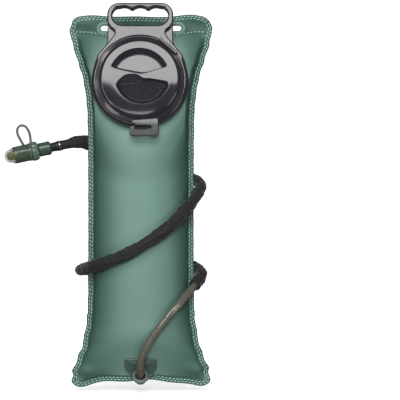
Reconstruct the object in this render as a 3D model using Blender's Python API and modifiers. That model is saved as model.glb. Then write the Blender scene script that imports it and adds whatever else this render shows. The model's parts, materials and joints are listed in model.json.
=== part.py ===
"""A three litre hydration bladder, hung up and full, with its drinking tube wound round it.

The front of the bladder faces -Y and +Z is up.  The origin is midway between the two
hanging slots of the header, in the plane where the two films are welded together.
All lengths are in metres.
"""
import math

import bmesh
import bpy
from mathutils import Matrix, Vector

# ---------------------------------------------------------------- driving dimensions
GAP = 0.0003                    # clearance kept between pieces that touch
FILM = 0.0006                   # thickness of one film
SEAM = 0.0062                   # width of the welded edge
SKIN = (GAP + FILM) / 2         # from the weld plane to the middle of either film

# Half width of the flat outline against height.
OUTLINE = ((0.0168, 0.0655), (0.0125, 0.0745), (0.0040, 0.0785), (-0.0080, 0.0788),
           (-0.0300, 0.0728), (-0.0560, 0.0648), (-0.0900, 0.0602), (-0.1500, 0.0592),
           (-0.2900, 0.0592), (-0.3280, 0.0610), (-0.3580, 0.0668), (-0.3820, 0.0755),
           (-0.3930, 0.0775), (-0.4000, 0.0750), (-0.4040, 0.0680))
TOP_EDGE, TOP_EAR = 0.0129, 0.0039          # top edge at the middle, rise of its corners
TOP_WELD, TOP_WELD_RISE = -0.0112, 0.0060   # header weld at the middle, rise at the sides
FOOT_WELD = -0.3880                         # inner edge of the bottom weld at the middle
FOOT_EDGE, FOOT_EAR = -0.3942, 0.0096       # bottom edge at the middle, drop of its corners
HALF_DEPTH = 0.0440                         # half thickness of the full bag
SIDE_POWER = 2.3                            # squareness of the cross-section
END_POWER, END_FALL = 4.0, 0.6              # how blunt the two ends are

# Fill port, on an axis that leans up from the front of the bag.
PORT_Y, PORT_Z, PORT_LEAN = -0.0340, -0.0624, math.radians(12.0)
MOUTH_R, NECK_R, WELD_R = 0.0402, 0.0424, 0.0462
NECK_TOP = 0.0106
COLLAR_R, COLLAR_BORE, COLLAR_TOP = 0.0540, 0.0460, 0.0120
CAP_R, CAP_FACE, CAP_SKIRT = 0.0450, 0.0220, 0.0040
CAP_FLOOR = 0.0120                          # underside of the cap's top plate
GRIP_R, GRIP_DEPTH = 0.0335, 0.0085         # the two finger hollows
UPPER_EDGE = ((-0.0290, 0.0112), (-0.0205, 0.0086), (-0.0110, 0.0064), (-0.0040, 0.0054),
              (0.0020, 0.0046), (0.0080, 0.0050), (0.0150, 0.0058), (0.0235, 0.0067), (0.0295, 0.0080))
LOWER_EDGE = ((0.0305, -0.0044), (0.0200, -0.0024), (0.0123, -0.0011), (0.0070, -0.0008),
              (0.0030, -0.0004), (0.0000, 0.0020), (-0.0040, 0.0036), (-0.0110, 0.0040),
              (-0.0160, 0.0028), (-0.0200, 0.0000), (-0.0240, -0.0040))
RING_BORE, RING_R, RING_LOW, RING_HIGH = 0.0443, 0.0493, 0.0124, 0.0154

# Handle, in the plane of the collar, measured from the port axis.
HANDLE_TOP, HANDLE_HALF, HANDLE_CORNER = 0.0876, 0.0365, 0.0130
FINGER_LOW, FINGER_HIGH, FINGER_HALF = 0.0620, 0.0835, 0.0310
BACK_LOW, BACK_HIGH = 0.0045, 0.0095        # back plate, along the port axis
FRONT_HIGH = 0.0150                         # front of the handle

# Hanging slots in the header.
SLOT_X, SLOT_HALF, SLOT_R = 0.0370, 0.0080, 0.0028

# Drinking outlet, on an axis that leans down from the front of the bag.
OUTLET_Y, OUTLET_Z, OUTLET_LEAN = -0.0105, -0.3785, math.radians(36.0)
ELBOW_REACH, ELBOW_R = 0.0177, 0.0074
TUBE_R, SLEEVE_R, SLEEVE_BORE = 0.0044, 0.0067, 0.0050

# Centre line of the drinking tube, from the outlet to the bite valve.
ROUTE = ((0.0000, -0.0271, -0.3856), (0.0000, -0.0341, -0.3760), (0.0015, -0.0386, -0.3665),
         (0.0058, -0.0415, -0.3560), (0.0125, -0.0436, -0.3450), (0.0225, -0.0443, -0.3310),
         (0.0325, -0.0428, -0.3185), (0.0425, -0.0379, -0.3075), (0.0523, -0.0281, -0.2960),
         (0.0616, -0.0150, -0.2850), (0.0672, 0.0005, -0.2755), (0.0612, 0.0188, -0.2690),
         (0.0482, 0.0364, -0.2650), (0.0275, 0.0477, -0.2630), (0.0000, 0.0520, -0.2630),
         (-0.0275, 0.0477, -0.2650), (-0.0482, 0.0364, -0.2675), (-0.0612, 0.0188, -0.2695),
         (-0.0672, 0.0005, -0.2700), (-0.0602, -0.0180, -0.2680), (-0.0460, -0.0368, -0.2640),
         (-0.0250, -0.0484, -0.2565), (0.0000, -0.0519, -0.2440), (0.0230, -0.0490, -0.2285),
         (0.0411, -0.0405, -0.2130), (0.0550, -0.0262, -0.1980), (0.0635, -0.0112, -0.1850),
         (0.0672, 0.0030, -0.1765), (0.0608, 0.0196, -0.1700), (0.0472, 0.0372, -0.1640),
         (0.0262, 0.0486, -0.1565), (0.0000, 0.0520, -0.1475), (-0.0270, 0.0493, -0.1380),
         (-0.0490, 0.0428, -0.1297), (-0.0690, 0.0354, -0.1262), (-0.0850, 0.0318, -0.1288),
         (-0.0985, 0.0290, -0.1318))
TUBE_STEP = 0.0130              # spacing of the points that the tube is drawn through
SLEEVE_FROM, SLEEVE_TO = 0.128, -0.008      # where the sleeve starts and ends on the tube

# Bite valve, along its own axis from the end of the tube.
VALVE_AXIS = (Vector(ROUTE[-1]) - Vector(ROUTE[-2])).normalized()
STEM_LOW = 0.0006
STEM_LONG, HOUSING_LOW, HOUSING_HIGH = 0.0062, 0.0050, 0.0215
HOUSING_R, TWIST_R, TWIST_HIGH = 0.0080, 0.0110, 0.0305
COVER_R, COVER_WALL, COVER_LONG = 0.0096, 0.0012, 0.0300
BITE_R, BITE_LONG = 0.0062, 0.0285

RIM_STEPS, VALVE_STEPS = 48, 24             # facets of the large and the small round pieces
WELD = 0.00001                              # points nearer than this are one point

FILM_GREEN, WELD_GREEN = (0.18, 0.34, 0.30), (0.14, 0.27, 0.24)
GUNMETAL, BLACK = (0.030, 0.030, 0.035), (0.012, 0.012, 0.013)
VALVE_GREEN, OLIVE, SMOKE = (0.050, 0.090, 0.060), (0.17, 0.21, 0.06), (0.18, 0.16, 0.11)
RUBBER_GREY = (0.16, 0.17, 0.15)


# ---------------------------------------------------------------- scene and helpers
def clear_scene():
    """Empty the file, so that only the bladder is in it."""
    for old in list(bpy.data.objects):
        bpy.data.objects.remove(old, do_unlink=True)


def collection(name):
    """Make a collection of the scene."""
    made = bpy.data.collections.new(name)
    bpy.context.scene.collection.children.link(made)
    return made


def material(name, colour, roughness, metallic=0.0):
    """A Principled material in one colour."""
    made = bpy.data.materials.new(name)
    made.use_nodes = True
    shader = made.node_tree.nodes["Principled BSDF"]
    shader.inputs["Base Color"].default_value = (*colour, 1.0)
    shader.inputs["Roughness"].default_value = roughness
    shader.inputs["Metallic"].default_value = metallic
    return made


def empty(name, place):
    """An empty that carries the pieces of one axis."""
    made = bpy.data.objects.new(name, None)
    made.matrix_world = place
    made.empty_display_size = 0.02
    PARTS.objects.link(made)
    return made


def put(name, mesh, colour=None, roughness=0.5, parent=None, location=(0.0, 0.0, 0.0)):
    """Add a mesh as a part, or as a cutter when it has no colour; a profile is turned."""
    made = bpy.data.objects.new(name, mesh)
    made.parent = parent
    made.location = location
    if colour is None:
        made.hide_render = True
        made.display_type = "WIRE"
        CUTTERS.objects.link(made)
    else:
        mesh.materials.append(material(name, colour, roughness))
        PARTS.objects.link(made)
    if "turn_steps" in mesh:
        turn = made.modifiers.new("turn", "SCREW")
        turn.steps = turn.render_steps = mesh["turn_steps"]
        turn.use_merge_vertices = True
        turn.merge_threshold = WELD
    return made


def turned(name, profile, ring=False, steps=RIM_STEPS):
    """A profile that put() turns about Z.  It runs down the outer side; a ring's closes."""
    count = len(profile)
    edges = [(index, (index + 1) % count) for index in range(count if ring else count - 1)]
    mesh = bpy.data.meshes.new(name)
    mesh.from_pydata([(radius, 0.0, height) for radius, height in profile], edges, [])
    mesh["turn_steps"] = steps
    return mesh


def settled(curve_object, closed=True):
    """Make a mesh of a curve object, weld its caps and remove the curve."""
    bpy.context.view_layer.update()
    shown = curve_object.evaluated_get(bpy.context.evaluated_depsgraph_get())
    mesh = bpy.data.meshes.new_from_object(shown)
    mesh.transform(curve_object.matrix_world)
    mesh.materials.clear()
    bpy.data.objects.remove(curve_object, do_unlink=True)
    form = bmesh.new()
    form.from_mesh(mesh)
    bmesh.ops.remove_doubles(form, verts=form.verts, dist=WELD)
    if closed:
        bmesh.ops.recalc_face_normals(form, faces=form.faces)
    form.to_mesh(mesh)
    form.free()
    return mesh


def plate(name, outlines, low, high):
    """Cut a plate of the given flat outlines; outlines inside others are holes."""
    curve = bpy.data.curves.new(name, "CURVE")
    curve.dimensions = "2D"
    curve.fill_mode = "BOTH"
    curve.extrude = (high - low) / 2.0
    for outline in outlines:
        spline = curve.splines.new("POLY")
        spline.points.add(len(outline) - 1)
        for point, (across, up) in zip(spline.points, outline):
            point.co = (across, up, 0.0, 1.0)
        spline.use_cyclic_u = True
    drawn = bpy.data.objects.new(name, curve)
    drawn.location.z = (low + high) / 2.0
    bpy.context.scene.collection.objects.link(drawn)
    return settled(drawn)


def rod(name, points, radius, sides=3, capped=True):
    """A round rod through a row of points."""
    curve = bpy.data.curves.new(name, "CURVE")
    curve.dimensions = "3D"
    curve.bevel_depth = radius
    curve.bevel_resolution = sides
    curve.use_fill_caps = capped
    spline = curve.splines.new("POLY")
    spline.points.add(len(points) - 1)
    for point, place in zip(spline.points, points):
        point.co = (*place, 1.0)
    drawn = bpy.data.objects.new(name, curve)
    bpy.context.scene.collection.objects.link(drawn)
    return settled(drawn, closed=capped)


def combine(target, other, operation):
    """Join another mesh to a part, or cut it out of the part."""
    step = target.modifiers.new(other.name, "BOOLEAN")
    step.operation = operation
    step.solver = "EXACT"
    step.object = other


def arc(centre, radius, start, end, steps):
    """Points along an arc, by angle in degrees."""
    cx, cy = centre
    for index in range(steps + 1):
        angle = math.radians(start + (end - start) * index / steps)
        yield cx + radius * math.cos(angle), cy + radius * math.sin(angle)


def stadium(centre_x, half, radius, centre_y=0.0, steps=8):
    """A long hole with round ends."""
    straight = half - radius
    return [*arc((centre_x + straight, centre_y), radius, -90, 90, steps),
            *arc((centre_x - straight, centre_y), radius, 90, 270, steps)]


def cubic(before, start, end, after, share):
    """A point on the smooth curve between two of four points."""
    return 0.5 * (2 * start + (end - before) * share
                  + (2 * before - 5 * start + 4 * end - after) * share ** 2
                  + (3 * start - before - 3 * end + after) * share ** 3)


def smooth_route(points, spacing):
    """Evenly spaced points on one smooth curve through the given ones."""
    knots = [Vector(point) for point in points]
    knots = [2 * knots[0] - knots[1], *knots, 2 * knots[-1] - knots[-2]]
    fine = [cubic(*knots[index - 1:index + 3], step / 20)
            for index in range(1, len(knots) - 2) for step in range(20)] + [knots[-2]]
    run = [0.0]
    for first, second in zip(fine, fine[1:]):
        run.append(run[-1] + (second - first).length)
    count = round(run[-1] / spacing)
    even, place = [], 0
    for index in range(count + 1):
        target = run[-1] * index / count
        while place < len(run) - 2 and run[place + 1] < target:
            place += 1
        share = (target - run[place]) / (run[place + 1] - run[place])
        even.append(fine[place].lerp(fine[place + 1], min(share, 1.0)))
    return even


# ---------------------------------------------------------------- the two films
def ease(value):
    """Zero below 0, one above 1, and smooth between."""
    value = max(0.0, min(1.0, value))
    return value * value * (3.0 - 2.0 * value)


def half_width(height):
    """Half width of the outline at a height, smooth through OUTLINE."""
    rows = list(OUTLINE)
    if height >= rows[0][0]:
        return rows[0][1]
    for index in range(len(rows) - 1):
        (high, wide), (low, narrow) = rows[index], rows[index + 1]
        if height >= low:
            before = rows[max(index - 1, 0)][1]
            after = rows[min(index + 2, len(rows) - 1)][1]
            return cubic(before, wide, narrow, after, (high - height) / (high - low))
    return rows[-1][1]


def weld_heights(across):
    """Top edge, header weld, foot weld and bottom edge; across runs from -1 to 1."""
    side = abs(across)
    top = TOP_EDGE + TOP_EAR * side ** 2 - 0.0035 * side ** 10
    header = TOP_WELD + TOP_WELD_RISE * ease((side - 0.35) / 0.5)
    foot = FOOT_WELD - FOOT_EAR * 0.75 * side ** 4
    bottom = FOOT_EDGE - FOOT_EAR * side ** 3 + 0.0030 * side ** 12
    return top, header, foot, bottom


def flat_patch(along, across, reach, fade):
    """How much of the film at this spot lies flat under a fitting."""
    return 1.0 - ease((math.hypot(along, across) - reach) / fade)


def bulge(x, height, share, drop, front):
    """Distance of the film from the weld plane."""
    round_side = max(0.0, 1.0 - share ** SIDE_POWER) ** (1.0 / SIDE_POWER)
    round_end = max(0.0, 1.0 - abs(2.0 * drop - 1.0) ** END_POWER) ** END_FALL
    depth = HALF_DEPTH * round_side * round_end
    if not front:
        return depth
    edge = ease((1.0 - share) / 0.07) * ease(drop / 0.003) * ease((1.0 - drop) / 0.004)
    up = height - PORT_Z
    port_depth = -PORT_Y - up * math.tan(PORT_LEAN) - SKIN
    along = up / math.cos(PORT_LEAN) * (1.0 if up > 0.0 else 0.82)
    depth += (port_depth - depth) * edge * flat_patch(along, x, 0.0610, 0.0090)
    up = height - OUTLET_Z
    outlet_depth = -OUTLET_Y + up * math.tan(OUTLET_LEAN) - SKIN
    along = up / math.cos(OUTLET_LEAN)
    return depth + (outlet_depth - depth) * edge * flat_patch(along, x, 0.0310, 0.0160)


def film(name, front):
    """One film of the bag: a sheet laid over the water, thickened, with its holes cut."""
    columns, rows = 14, 28
    side = -1.0 if front else 1.0
    form = bmesh.new()
    grid = []
    header_rows = (0.0, 0.18, 0.45, 0.78, 1.0)
    for row in range(len(header_rows) + rows + 2):
        line = []
        for column in range(-1, columns + 2):
            turn = max(-1.0, min(1.0, 2.0 * column / columns - 1.0))
            across = math.sin(turn * math.pi / 2.0)
            in_seam = column in (-1, columns + 1)
            top, header, foot, bottom = weld_heights(across)
            drop = 0.0
            if row < len(header_rows):
                height = top + (header - top) * header_rows[row]
            elif row < len(header_rows) + rows:
                drop = 0.5 - 0.5 * math.cos(math.pi * (row - len(header_rows) + 1) / rows)
                height = header + (foot - header) * drop
            else:
                height = foot + (bottom - foot) * (row - len(header_rows) - rows + 1) / 2.0
            wide = half_width(height)
            x = math.copysign(wide, turn) if in_seam else across * (wide - SEAM)
            depth = 0.0 if in_seam else bulge(x, height, abs(across), drop, front)
            line.append(form.verts.new((x, side * (SKIN + depth), height)))
        grid.append(line)
    for upper, lower in zip(grid, grid[1:]):
        for index in range(len(upper) - 1):
            form.faces.new((upper[index], upper[index + 1], lower[index + 1], lower[index]))
    mesh = bpy.data.meshes.new(name)
    form.to_mesh(mesh)
    form.free()
    mesh.shade_smooth()
    made = put(name, mesh, FILM_GREEN, 0.45)
    thick = made.modifiers.new("thickness", "SOLIDIFY")
    thick.thickness = FILM
    thick.offset = 0.0
    for cutter in SLOT_CUTTERS:
        combine(made, cutter, "DIFFERENCE")
    return made


def slot_cutters():
    """The two hanging slots, cut through both films."""
    cutters = []
    for side in (-1, 1):
        outline = stadium(side * SLOT_X, SLOT_HALF, SLOT_R)
        cutter = put("slot_cut", plate("slot_cut", [outline], -0.01, 0.01))
        cutter.rotation_euler = (math.radians(90.0), 0.0, 0.0)
        cutters.append(cutter)
    return cutters


# ---------------------------------------------------------------- fill port
def fill_port(axis):
    """The threaded neck with its weld flange, which is sealed to the front film."""
    flange_top = -FILM / 2 - GAP
    flange_low = flange_top - 0.0016
    neck = turned("fill_neck", [(NECK_R, NECK_TOP), (NECK_R, flange_top), (WELD_R, flange_top),
                                (WELD_R, flange_low), (MOUTH_R, flange_low),
                                (MOUTH_R, NECK_TOP)], ring=True)
    put("fill_neck", neck, GUNMETAL, 0.35, axis)


def scalloped_opening():
    """The finger opening: round ends and three finger hollows along its top."""
    middle = (FINGER_LOW + FINGER_HIGH) / 2.0
    radius = (FINGER_HIGH - FINGER_LOW) / 2.0
    straight = FINGER_HALF - radius
    points = list(arc((straight, middle), radius, -90, 60, 6))
    for step in range(13):
        x = (straight + 0.001) * (1.0 - step / 6.0)
        hollow = abs(math.cos(1.5 * math.pi * x / (straight + 0.006)))
        points.append((x, FINGER_HIGH - 0.0045 + 0.0042 * hollow ** 0.6))
    points.extend(arc((-straight, middle), radius, 120, 270, 6))
    return points


def handle_frame(axis):
    """Collar and carrying handle, one moulding clipped over the neck."""
    low = FILM / 2 + GAP
    collar = turned("handle_frame", [(COLLAR_R - 0.0030, COLLAR_TOP), (COLLAR_R - 0.0008, 0.0098),
                                     (COLLAR_R, low + 0.0012), (COLLAR_R - 0.0006, low),
                                     (COLLAR_BORE - 0.0030, low), (COLLAR_BORE - 0.0030, 0.0030),
                                     (COLLAR_BORE, 0.0030), (COLLAR_BORE, COLLAR_TOP)],
                    ring=True)
    frame = put("handle_frame", collar, GUNMETAL, 0.22, axis)
    corner = HANDLE_CORNER
    top_right = list(arc((HANDLE_HALF - corner, HANDLE_TOP - corner), corner, 0, 90, 6))
    back = [(0.0512, 0.0150), (0.0482, 0.0262), (HANDLE_HALF, 0.0430), *top_right]
    front = [(0.0470, 0.0170), (0.0480, 0.0265), (0.0300, 0.0490), (0.0277, 0.0530),
             (0.0290, 0.0565), (0.0330, 0.0590), (HANDLE_HALF, 0.0650), *top_right]
    hole = scalloped_opening()
    for name, half, high in (("back_plate", back, BACK_HIGH), ("front_plate", front, FRONT_HIGH)):
        outline = half + [(-x, y) for x, y in reversed(half)]
        bottom = BACK_LOW if name == "back_plate" else BACK_HIGH - 0.0008
        combine(frame, put(name, plate(name, [outline, hole], bottom, high), parent=axis), "UNION")
    bore = turned("collar_bore", [(0.0, 0.05), (COLLAR_BORE, 0.05), (COLLAR_BORE, 0.0030),
                                  (0.0, 0.0030)])
    combine(frame, put("collar_bore", bore, parent=axis), "DIFFERENCE")
    rim = turned("ring_seat", [(0.0, 0.05), (RING_R + 0.0016, 0.05), (RING_R + 0.0016, COLLAR_TOP),
                               (0.0, COLLAR_TOP)])
    combine(frame, put("ring_seat", rim, parent=axis), "DIFFERENCE")


def grip_outline(upper):
    """One of the two finger hollows; between them runs the twisted finger bar."""
    if upper:
        points = list(arc((-0.0006, 0.0), GRIP_R, 16, 159, 18))
        edge = UPPER_EDGE
    else:
        points = list(arc((0.0030, 0.0005), GRIP_R - 0.0030, 190, 349, 18))
        edge = LOWER_EDGE
    return points + list(edge)


def screw_cap(axis):
    """The screw cap, its finger hollows, and the gasket it closes on."""
    skirt = NECK_R + 0.0005
    groove = RING_BORE - 0.0004
    cap = turned("screw_cap", [(0.0, CAP_FACE - 0.0004), (0.0360, CAP_FACE - 0.0004),
                               (0.0372, CAP_FACE), (0.0430, CAP_FACE), (0.0446, CAP_FACE - 0.0008),
                               (CAP_R, CAP_FACE - 0.0026), (CAP_R, RING_HIGH + GAP),
                               (groove, RING_HIGH + GAP), (groove, RING_LOW - GAP),
                               (CAP_R, RING_LOW - GAP), (CAP_R, CAP_SKIRT), (skirt, CAP_SKIRT),
                               (skirt, CAP_FLOOR), (0.0, CAP_FLOOR)])
    made = put("screw_cap", cap, GUNMETAL, 0.15, axis)
    for upper in (True, False):
        name = "upper_grip" if upper else "lower_grip"
        hollow = plate(name, [grip_outline(upper)], CAP_FACE - GRIP_DEPTH, CAP_FACE + 0.002)
        combine(made, put(name, hollow, parent=axis), "DIFFERENCE")
    low, high = NECK_TOP + GAP, CAP_FLOOR - GAP
    gasket = turned("cap_gasket", [(NECK_R - 0.0002, high), (NECK_R - 0.0002, low),
                                   (MOUTH_R + 0.0001, low), (MOUTH_R + 0.0001, high)], ring=True)
    put("cap_gasket", gasket, RUBBER_GREY, 0.7, axis)


def tether(axis):
    """The ring that keeps the cap, its slotted tab, and the strap pinned to the collar."""
    band = turned("tether_ring", [(RING_R, RING_HIGH), (RING_R, RING_LOW), (RING_BORE, RING_LOW),
                                  (RING_BORE, RING_HIGH)], ring=True)
    ring = put("tether_ring", band, GUNMETAL, 0.3, axis)
    middle, half, foot = 0.0050, 0.0160, -0.0645
    corner = 0.0040
    outline = [(middle + half - 0.0010, -0.0440), (middle + half, -0.0520),
               *arc((middle + half - corner, foot + corner), corner, 0, -90, 4),
               *arc((middle - half + corner, foot + corner), corner, -90, -180, 4),
               (middle - half, -0.0560), (middle - half + 0.0035, -0.0460)]
    tab = put("tab", plate("tab", [outline], RING_LOW + 0.0002, RING_HIGH - 0.0002), parent=axis)
    combine(ring, tab, "UNION")
    slot = stadium(0.0036, 0.0098, 0.0020, -0.0544)
    slot = [(x, -0.0544 + (y + 0.0544) * 1.4) for x, y in slot]
    hook_gap = [(-0.0080, -0.0530), (-0.0150, -0.0545), (-0.0140, -0.0481), (-0.0060, -0.0497),
                (-0.0030, -0.0525)]
    for name, shape in (("tab_slot", slot), ("hook_gap", hook_gap)):
        cutter = put(name, plate(name, [shape], RING_LOW - 0.002, RING_HIGH + 0.002), parent=axis)
        combine(ring, cutter, "DIFFERENCE")
    inner = turned("ring_bore", [(0.0, 0.05), (RING_BORE, 0.05), (RING_BORE, 0.0), (0.0, 0.0)])
    combine(ring, put("ring_bore", inner, parent=axis), "DIFFERENCE")
    start, end = Vector((0.0212, 0.0458)), Vector((0.0402, 0.0292))
    along = (end - start).normalized()
    side = Vector((-along.y, along.x)) * 0.0013
    outline = [start - side, end - side, end + side, start + side]
    strap = plate("tether_strap", [[tuple(point) for point in outline]], RING_HIGH + GAP,
                  RING_HIGH + 0.0020)
    put("tether_strap", strap, GUNMETAL, 0.25, axis)


# ---------------------------------------------------------------- drinking outlet
def outlet(axis):
    """Flange, elbow and seals at the foot of the bag."""
    low = FILM / 2 + GAP
    half = [*arc((0.0085, -0.0095), 0.0045, -90, -20, 4), (0.0176, 0.0020), (0.0185, 0.0060),
            *arc((0.0145, 0.0095), 0.0040, 0, 90, 4)]
    outline = half + [(-x, y) for x, y in reversed(half)]
    flange = put("outlet_flange", plate("outlet_flange", [outline], low, low + 0.0016),
                 WELD_GREEN, 0.45, axis)
    socket = turned("outlet_socket", [(0.0082, low + 0.0038), (0.0082, low + 0.0010),
                                      (0.0040, low + 0.0010), (0.0040, low + 0.0038)], ring=True,
                    steps=VALVE_STEPS)
    combine(flange, put("outlet_socket", socket, parent=axis), "UNION")
    bore = turned("outlet_bore", [(0.0, 0.01), (0.0040, 0.01), (0.0040, -0.01), (0.0, -0.01)],
                  steps=VALVE_STEPS)
    combine(flange, put("outlet_bore", bore, parent=axis), "DIFFERENCE")
    seat = low + 0.0038 + GAP
    washer = turned("outlet_o_ring", [(0.0062, seat + 0.0016), (0.0062, seat), (0.0042, seat),
                                      (0.0042, seat + 0.0016)], ring=True, steps=VALVE_STEPS)
    put("outlet_o_ring", washer, BLACK, 0.7, axis)
    barrel = turned("outlet_elbow", [(0.0, ELBOW_REACH), (0.0050, ELBOW_REACH),
                                     (0.0062, ELBOW_REACH - 0.0015), (0.0062, seat + 0.0019),
                                     (0.0, seat + 0.0019)], steps=VALVE_STEPS)
    elbow = put("outlet_elbow", barrel, VALVE_GREEN, 0.4, axis)
    rim = 0.0008
    cup = [(0.0, rim), (ELBOW_R - 0.0006, rim), (ELBOW_R, rim - 0.0006)]
    cup += [(ELBOW_R * math.cos(math.radians(angle)), -0.0008 + ELBOW_R * math.sin(math.radians(angle)))
            for angle in (0, -20, -40, -60, -75, -90)]
    upright = put("elbow_cup", turned("elbow_cup", cup, steps=VALVE_STEPS), parent=axis,
                  location=(0.0, 0.0, ELBOW_REACH))
    upright.rotation_euler = (math.radians(-90.0), 0.0, 0.0)
    combine(elbow, upright, "UNION")
    way = turned("tube_way", [(0.0, 0.02), (0.0058, 0.02), (0.0058, rim), (0.0, rim)], steps=VALVE_STEPS)
    way_cut = put("tube_way", way, parent=axis, location=(0.0, 0.0, ELBOW_REACH))
    way_cut.rotation_euler = (math.radians(-90.0), 0.0, 0.0)
    combine(elbow, way_cut, "DIFFERENCE")
    seal = turned("elbow_seal_ring", [(0.0054, rim + 0.0026), (0.0054, rim + GAP),
                                      (0.0030, rim + GAP), (0.0030, rim + 0.0026)], ring=True,
                  steps=VALVE_STEPS)
    ring = put("elbow_seal_ring", seal, BLACK, 0.6, axis, location=(0.0, 0.0, ELBOW_REACH))
    ring.rotation_euler = (math.radians(-90.0), 0.0, 0.0)


# ---------------------------------------------------------------- tube, sleeve and valve
def hose():
    """The drinking tube, and the insulating sleeve over all but its first stretch."""
    line = smooth_route(ROUTE, TUBE_STEP)
    put("drinking_tube", rod("drinking_tube", line, TUBE_R), SMOKE, 0.2)
    first = round(SLEEVE_FROM / TUBE_STEP)
    covered = line[first:]
    last = (covered[-1] - covered[-2]).normalized()
    covered[-1] = covered[-1] + last * SLEEVE_TO
    made = put("insulating_sleeve", rod("insulating_sleeve", covered, SLEEVE_R, sides=2, capped=False),
               BLACK, 0.85)
    wall = made.modifiers.new("wall", "SOLIDIFY")
    wall.thickness = SLEEVE_R - SLEEVE_BORE
    wall.offset = -1.0
    return line


def bite_valve(axis):
    """Stem, housing, twist collar, mouthpiece, dust cover and lanyard, along the valve axis."""
    band = turned("sleeve_band", [(0.0062, -0.0036), (0.0062, -0.0070), (0.0053, -0.0070),
                                  (0.0053, -0.0036)], ring=True, steps=VALVE_STEPS)
    put("sleeve_band", band, (0.6, 0.6, 0.6), 0.3, axis)
    stem = turned("valve_stem", [(0.0, STEM_LONG - 0.0015), (0.0052, STEM_LONG - 0.0015),
                                 (0.0052, 0.0034), (0.0046, 0.0030), (0.0052, 0.0020),
                                 (0.0052, STEM_LOW), (0.0, STEM_LOW)], steps=VALVE_STEPS)
    put("valve_stem", stem, BLACK, 0.5, axis)
    body = turned("valve_housing", [(0.0, HOUSING_HIGH), (0.0058, HOUSING_HIGH),
                                    (0.0058, HOUSING_HIGH - 0.0030), (HOUSING_R, HOUSING_HIGH - 0.0030),
                                    (HOUSING_R, HOUSING_LOW + 0.0022), (HOUSING_R - 0.0014, HOUSING_LOW),
                                    (0.0, HOUSING_LOW)], steps=VALVE_STEPS)
    put("valve_housing", body, VALVE_GREEN, 0.35, axis)
    inner = turned("o_ring", [(0.0066, HOUSING_HIGH - 0.0010), (0.0066, HOUSING_HIGH - 0.0024),
                              (0.0061, HOUSING_HIGH - 0.0024), (0.0061, HOUSING_HIGH - 0.0010)],
                   ring=True, steps=VALVE_STEPS)
    put("valve_o_ring", inner, BLACK, 0.7, axis)
    seat = HOUSING_HIGH + GAP
    twist = turned("twist_collar", [(0.0, seat + 0.0040), (0.0070, seat + 0.0040),
                                    (0.0070, TWIST_HIGH), (0.0080, TWIST_HIGH),
                                    (0.0080, TWIST_HIGH - 0.0030), (TWIST_R - 0.0008, TWIST_HIGH - 0.0030),
                                    (TWIST_R, TWIST_HIGH - 0.0042), (TWIST_R, seat + 0.0008),
                                    (TWIST_R - 0.0010, seat - 0.0020), (0.0069, seat - 0.0020),
                                    (0.0069, seat), (0.0, seat)], steps=VALVE_STEPS)
    put("twist_collar", twist, VALVE_GREEN, 0.35, axis)
    root = seat + 0.0040 + GAP
    bite = turned("mouthpiece", [(0.0, root + BITE_LONG), (0.0030, root + BITE_LONG),
                                 (0.0046, root + BITE_LONG - 0.0016), (0.0050, root + BITE_LONG - 0.0050),
                                 (0.0044, root + BITE_LONG - 0.0100), (BITE_R, root + 0.0060),
                                 (0.0064, root), (0.0, root)], steps=VALVE_STEPS)
    put("mouthpiece", bite, OLIVE, 0.35, axis)
    mouth = TWIST_HIGH - 0.0030 + GAP
    tip = mouth + COVER_LONG
    bore = COVER_R - COVER_WALL
    cover = turned("dust_cover", [(0.0, tip), (0.0040, tip), (0.0062, tip - 0.0016),
                                  (0.0088, tip - 0.0080), (COVER_R, tip - 0.0120),
                                  (COVER_R, mouth), (bore, mouth), (bore, tip - 0.0124),
                                  (0.0076, tip - 0.0088), (0.0054, tip - 0.0030),
                                  (0.0, tip - 0.0014)], steps=VALVE_STEPS)
    put("dust_cover", cover, VALVE_GREEN, 0.15, axis)


def lanyard():
    """The moulded loop that ties the dust cover to the valve."""
    up = Vector((0.0, 0.0, 1.0))
    side = -VALVE_AXIS
    out = (up - VALVE_AXIS * up.dot(VALVE_AXIS)).normalized()
    foot = Vector(ROUTE[-1]) + VALVE_AXIS * (TWIST_HIGH + 0.0012) + out * (COVER_R + 0.0018)
    points = []
    for step in range(25):
        angle = math.radians(-62.0 + 304.0 * step / 24)
        rise = 0.0105 + 0.0105 * math.sin(angle)
        spread = 0.0052 * math.cos(angle) * (0.75 + 0.25 * math.sin(angle))
        points.append(foot + out * rise + side * spread)
    put("lanyard_loop", rod("lanyard_loop", points, 0.00125, sides=2), RUBBER_GREY, 0.5)


clear_scene()
PARTS = collection("hydration_bladder")
CUTTERS = collection("cutters")

port_axis = empty("port_axis", Matrix.Translation((0.0, PORT_Y, PORT_Z))
                  @ Matrix.Rotation(math.pi / 2 - PORT_LEAN, 4, "X"))
outlet_axis = empty("outlet_axis", Matrix.Translation((0.0, OUTLET_Y, OUTLET_Z))
                    @ Matrix.Rotation(math.pi / 2 + OUTLET_LEAN, 4, "X"))
valve_axis = empty("valve_axis", Matrix.Translation(ROUTE[-1])
                   @ VALVE_AXIS.to_track_quat("Z", "Y").to_matrix().to_4x4())

SLOT_CUTTERS = slot_cutters()
front_film = film("front_film", front=True)
film("back_film", front=False)
for hole_name, hole_axis, hole_r in (("neck_hole", port_axis, NECK_R + GAP),
                                     ("outlet_hole", outlet_axis, 0.0036)):
    hole_mesh = turned(hole_name, [(0.0, 0.02), (hole_r, 0.02), (hole_r, -0.012), (0.0, -0.012)])
    combine(front_film, put(hole_name, hole_mesh, parent=hole_axis), "DIFFERENCE")
fill_port(port_axis)
handle_frame(port_axis)
screw_cap(port_axis)
tether(port_axis)
outlet(outlet_axis)
hose()
bite_valve(valve_axis)
lanyard()
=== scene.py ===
"""The looks of a hydration bladder, hung up and full, built round its fixed frame.

The front of the bladder faces -Y and +Z is up.  The origin is midway between the hanging
slots of the header.  All lengths are in metres.
"""

import json
import math

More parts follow.
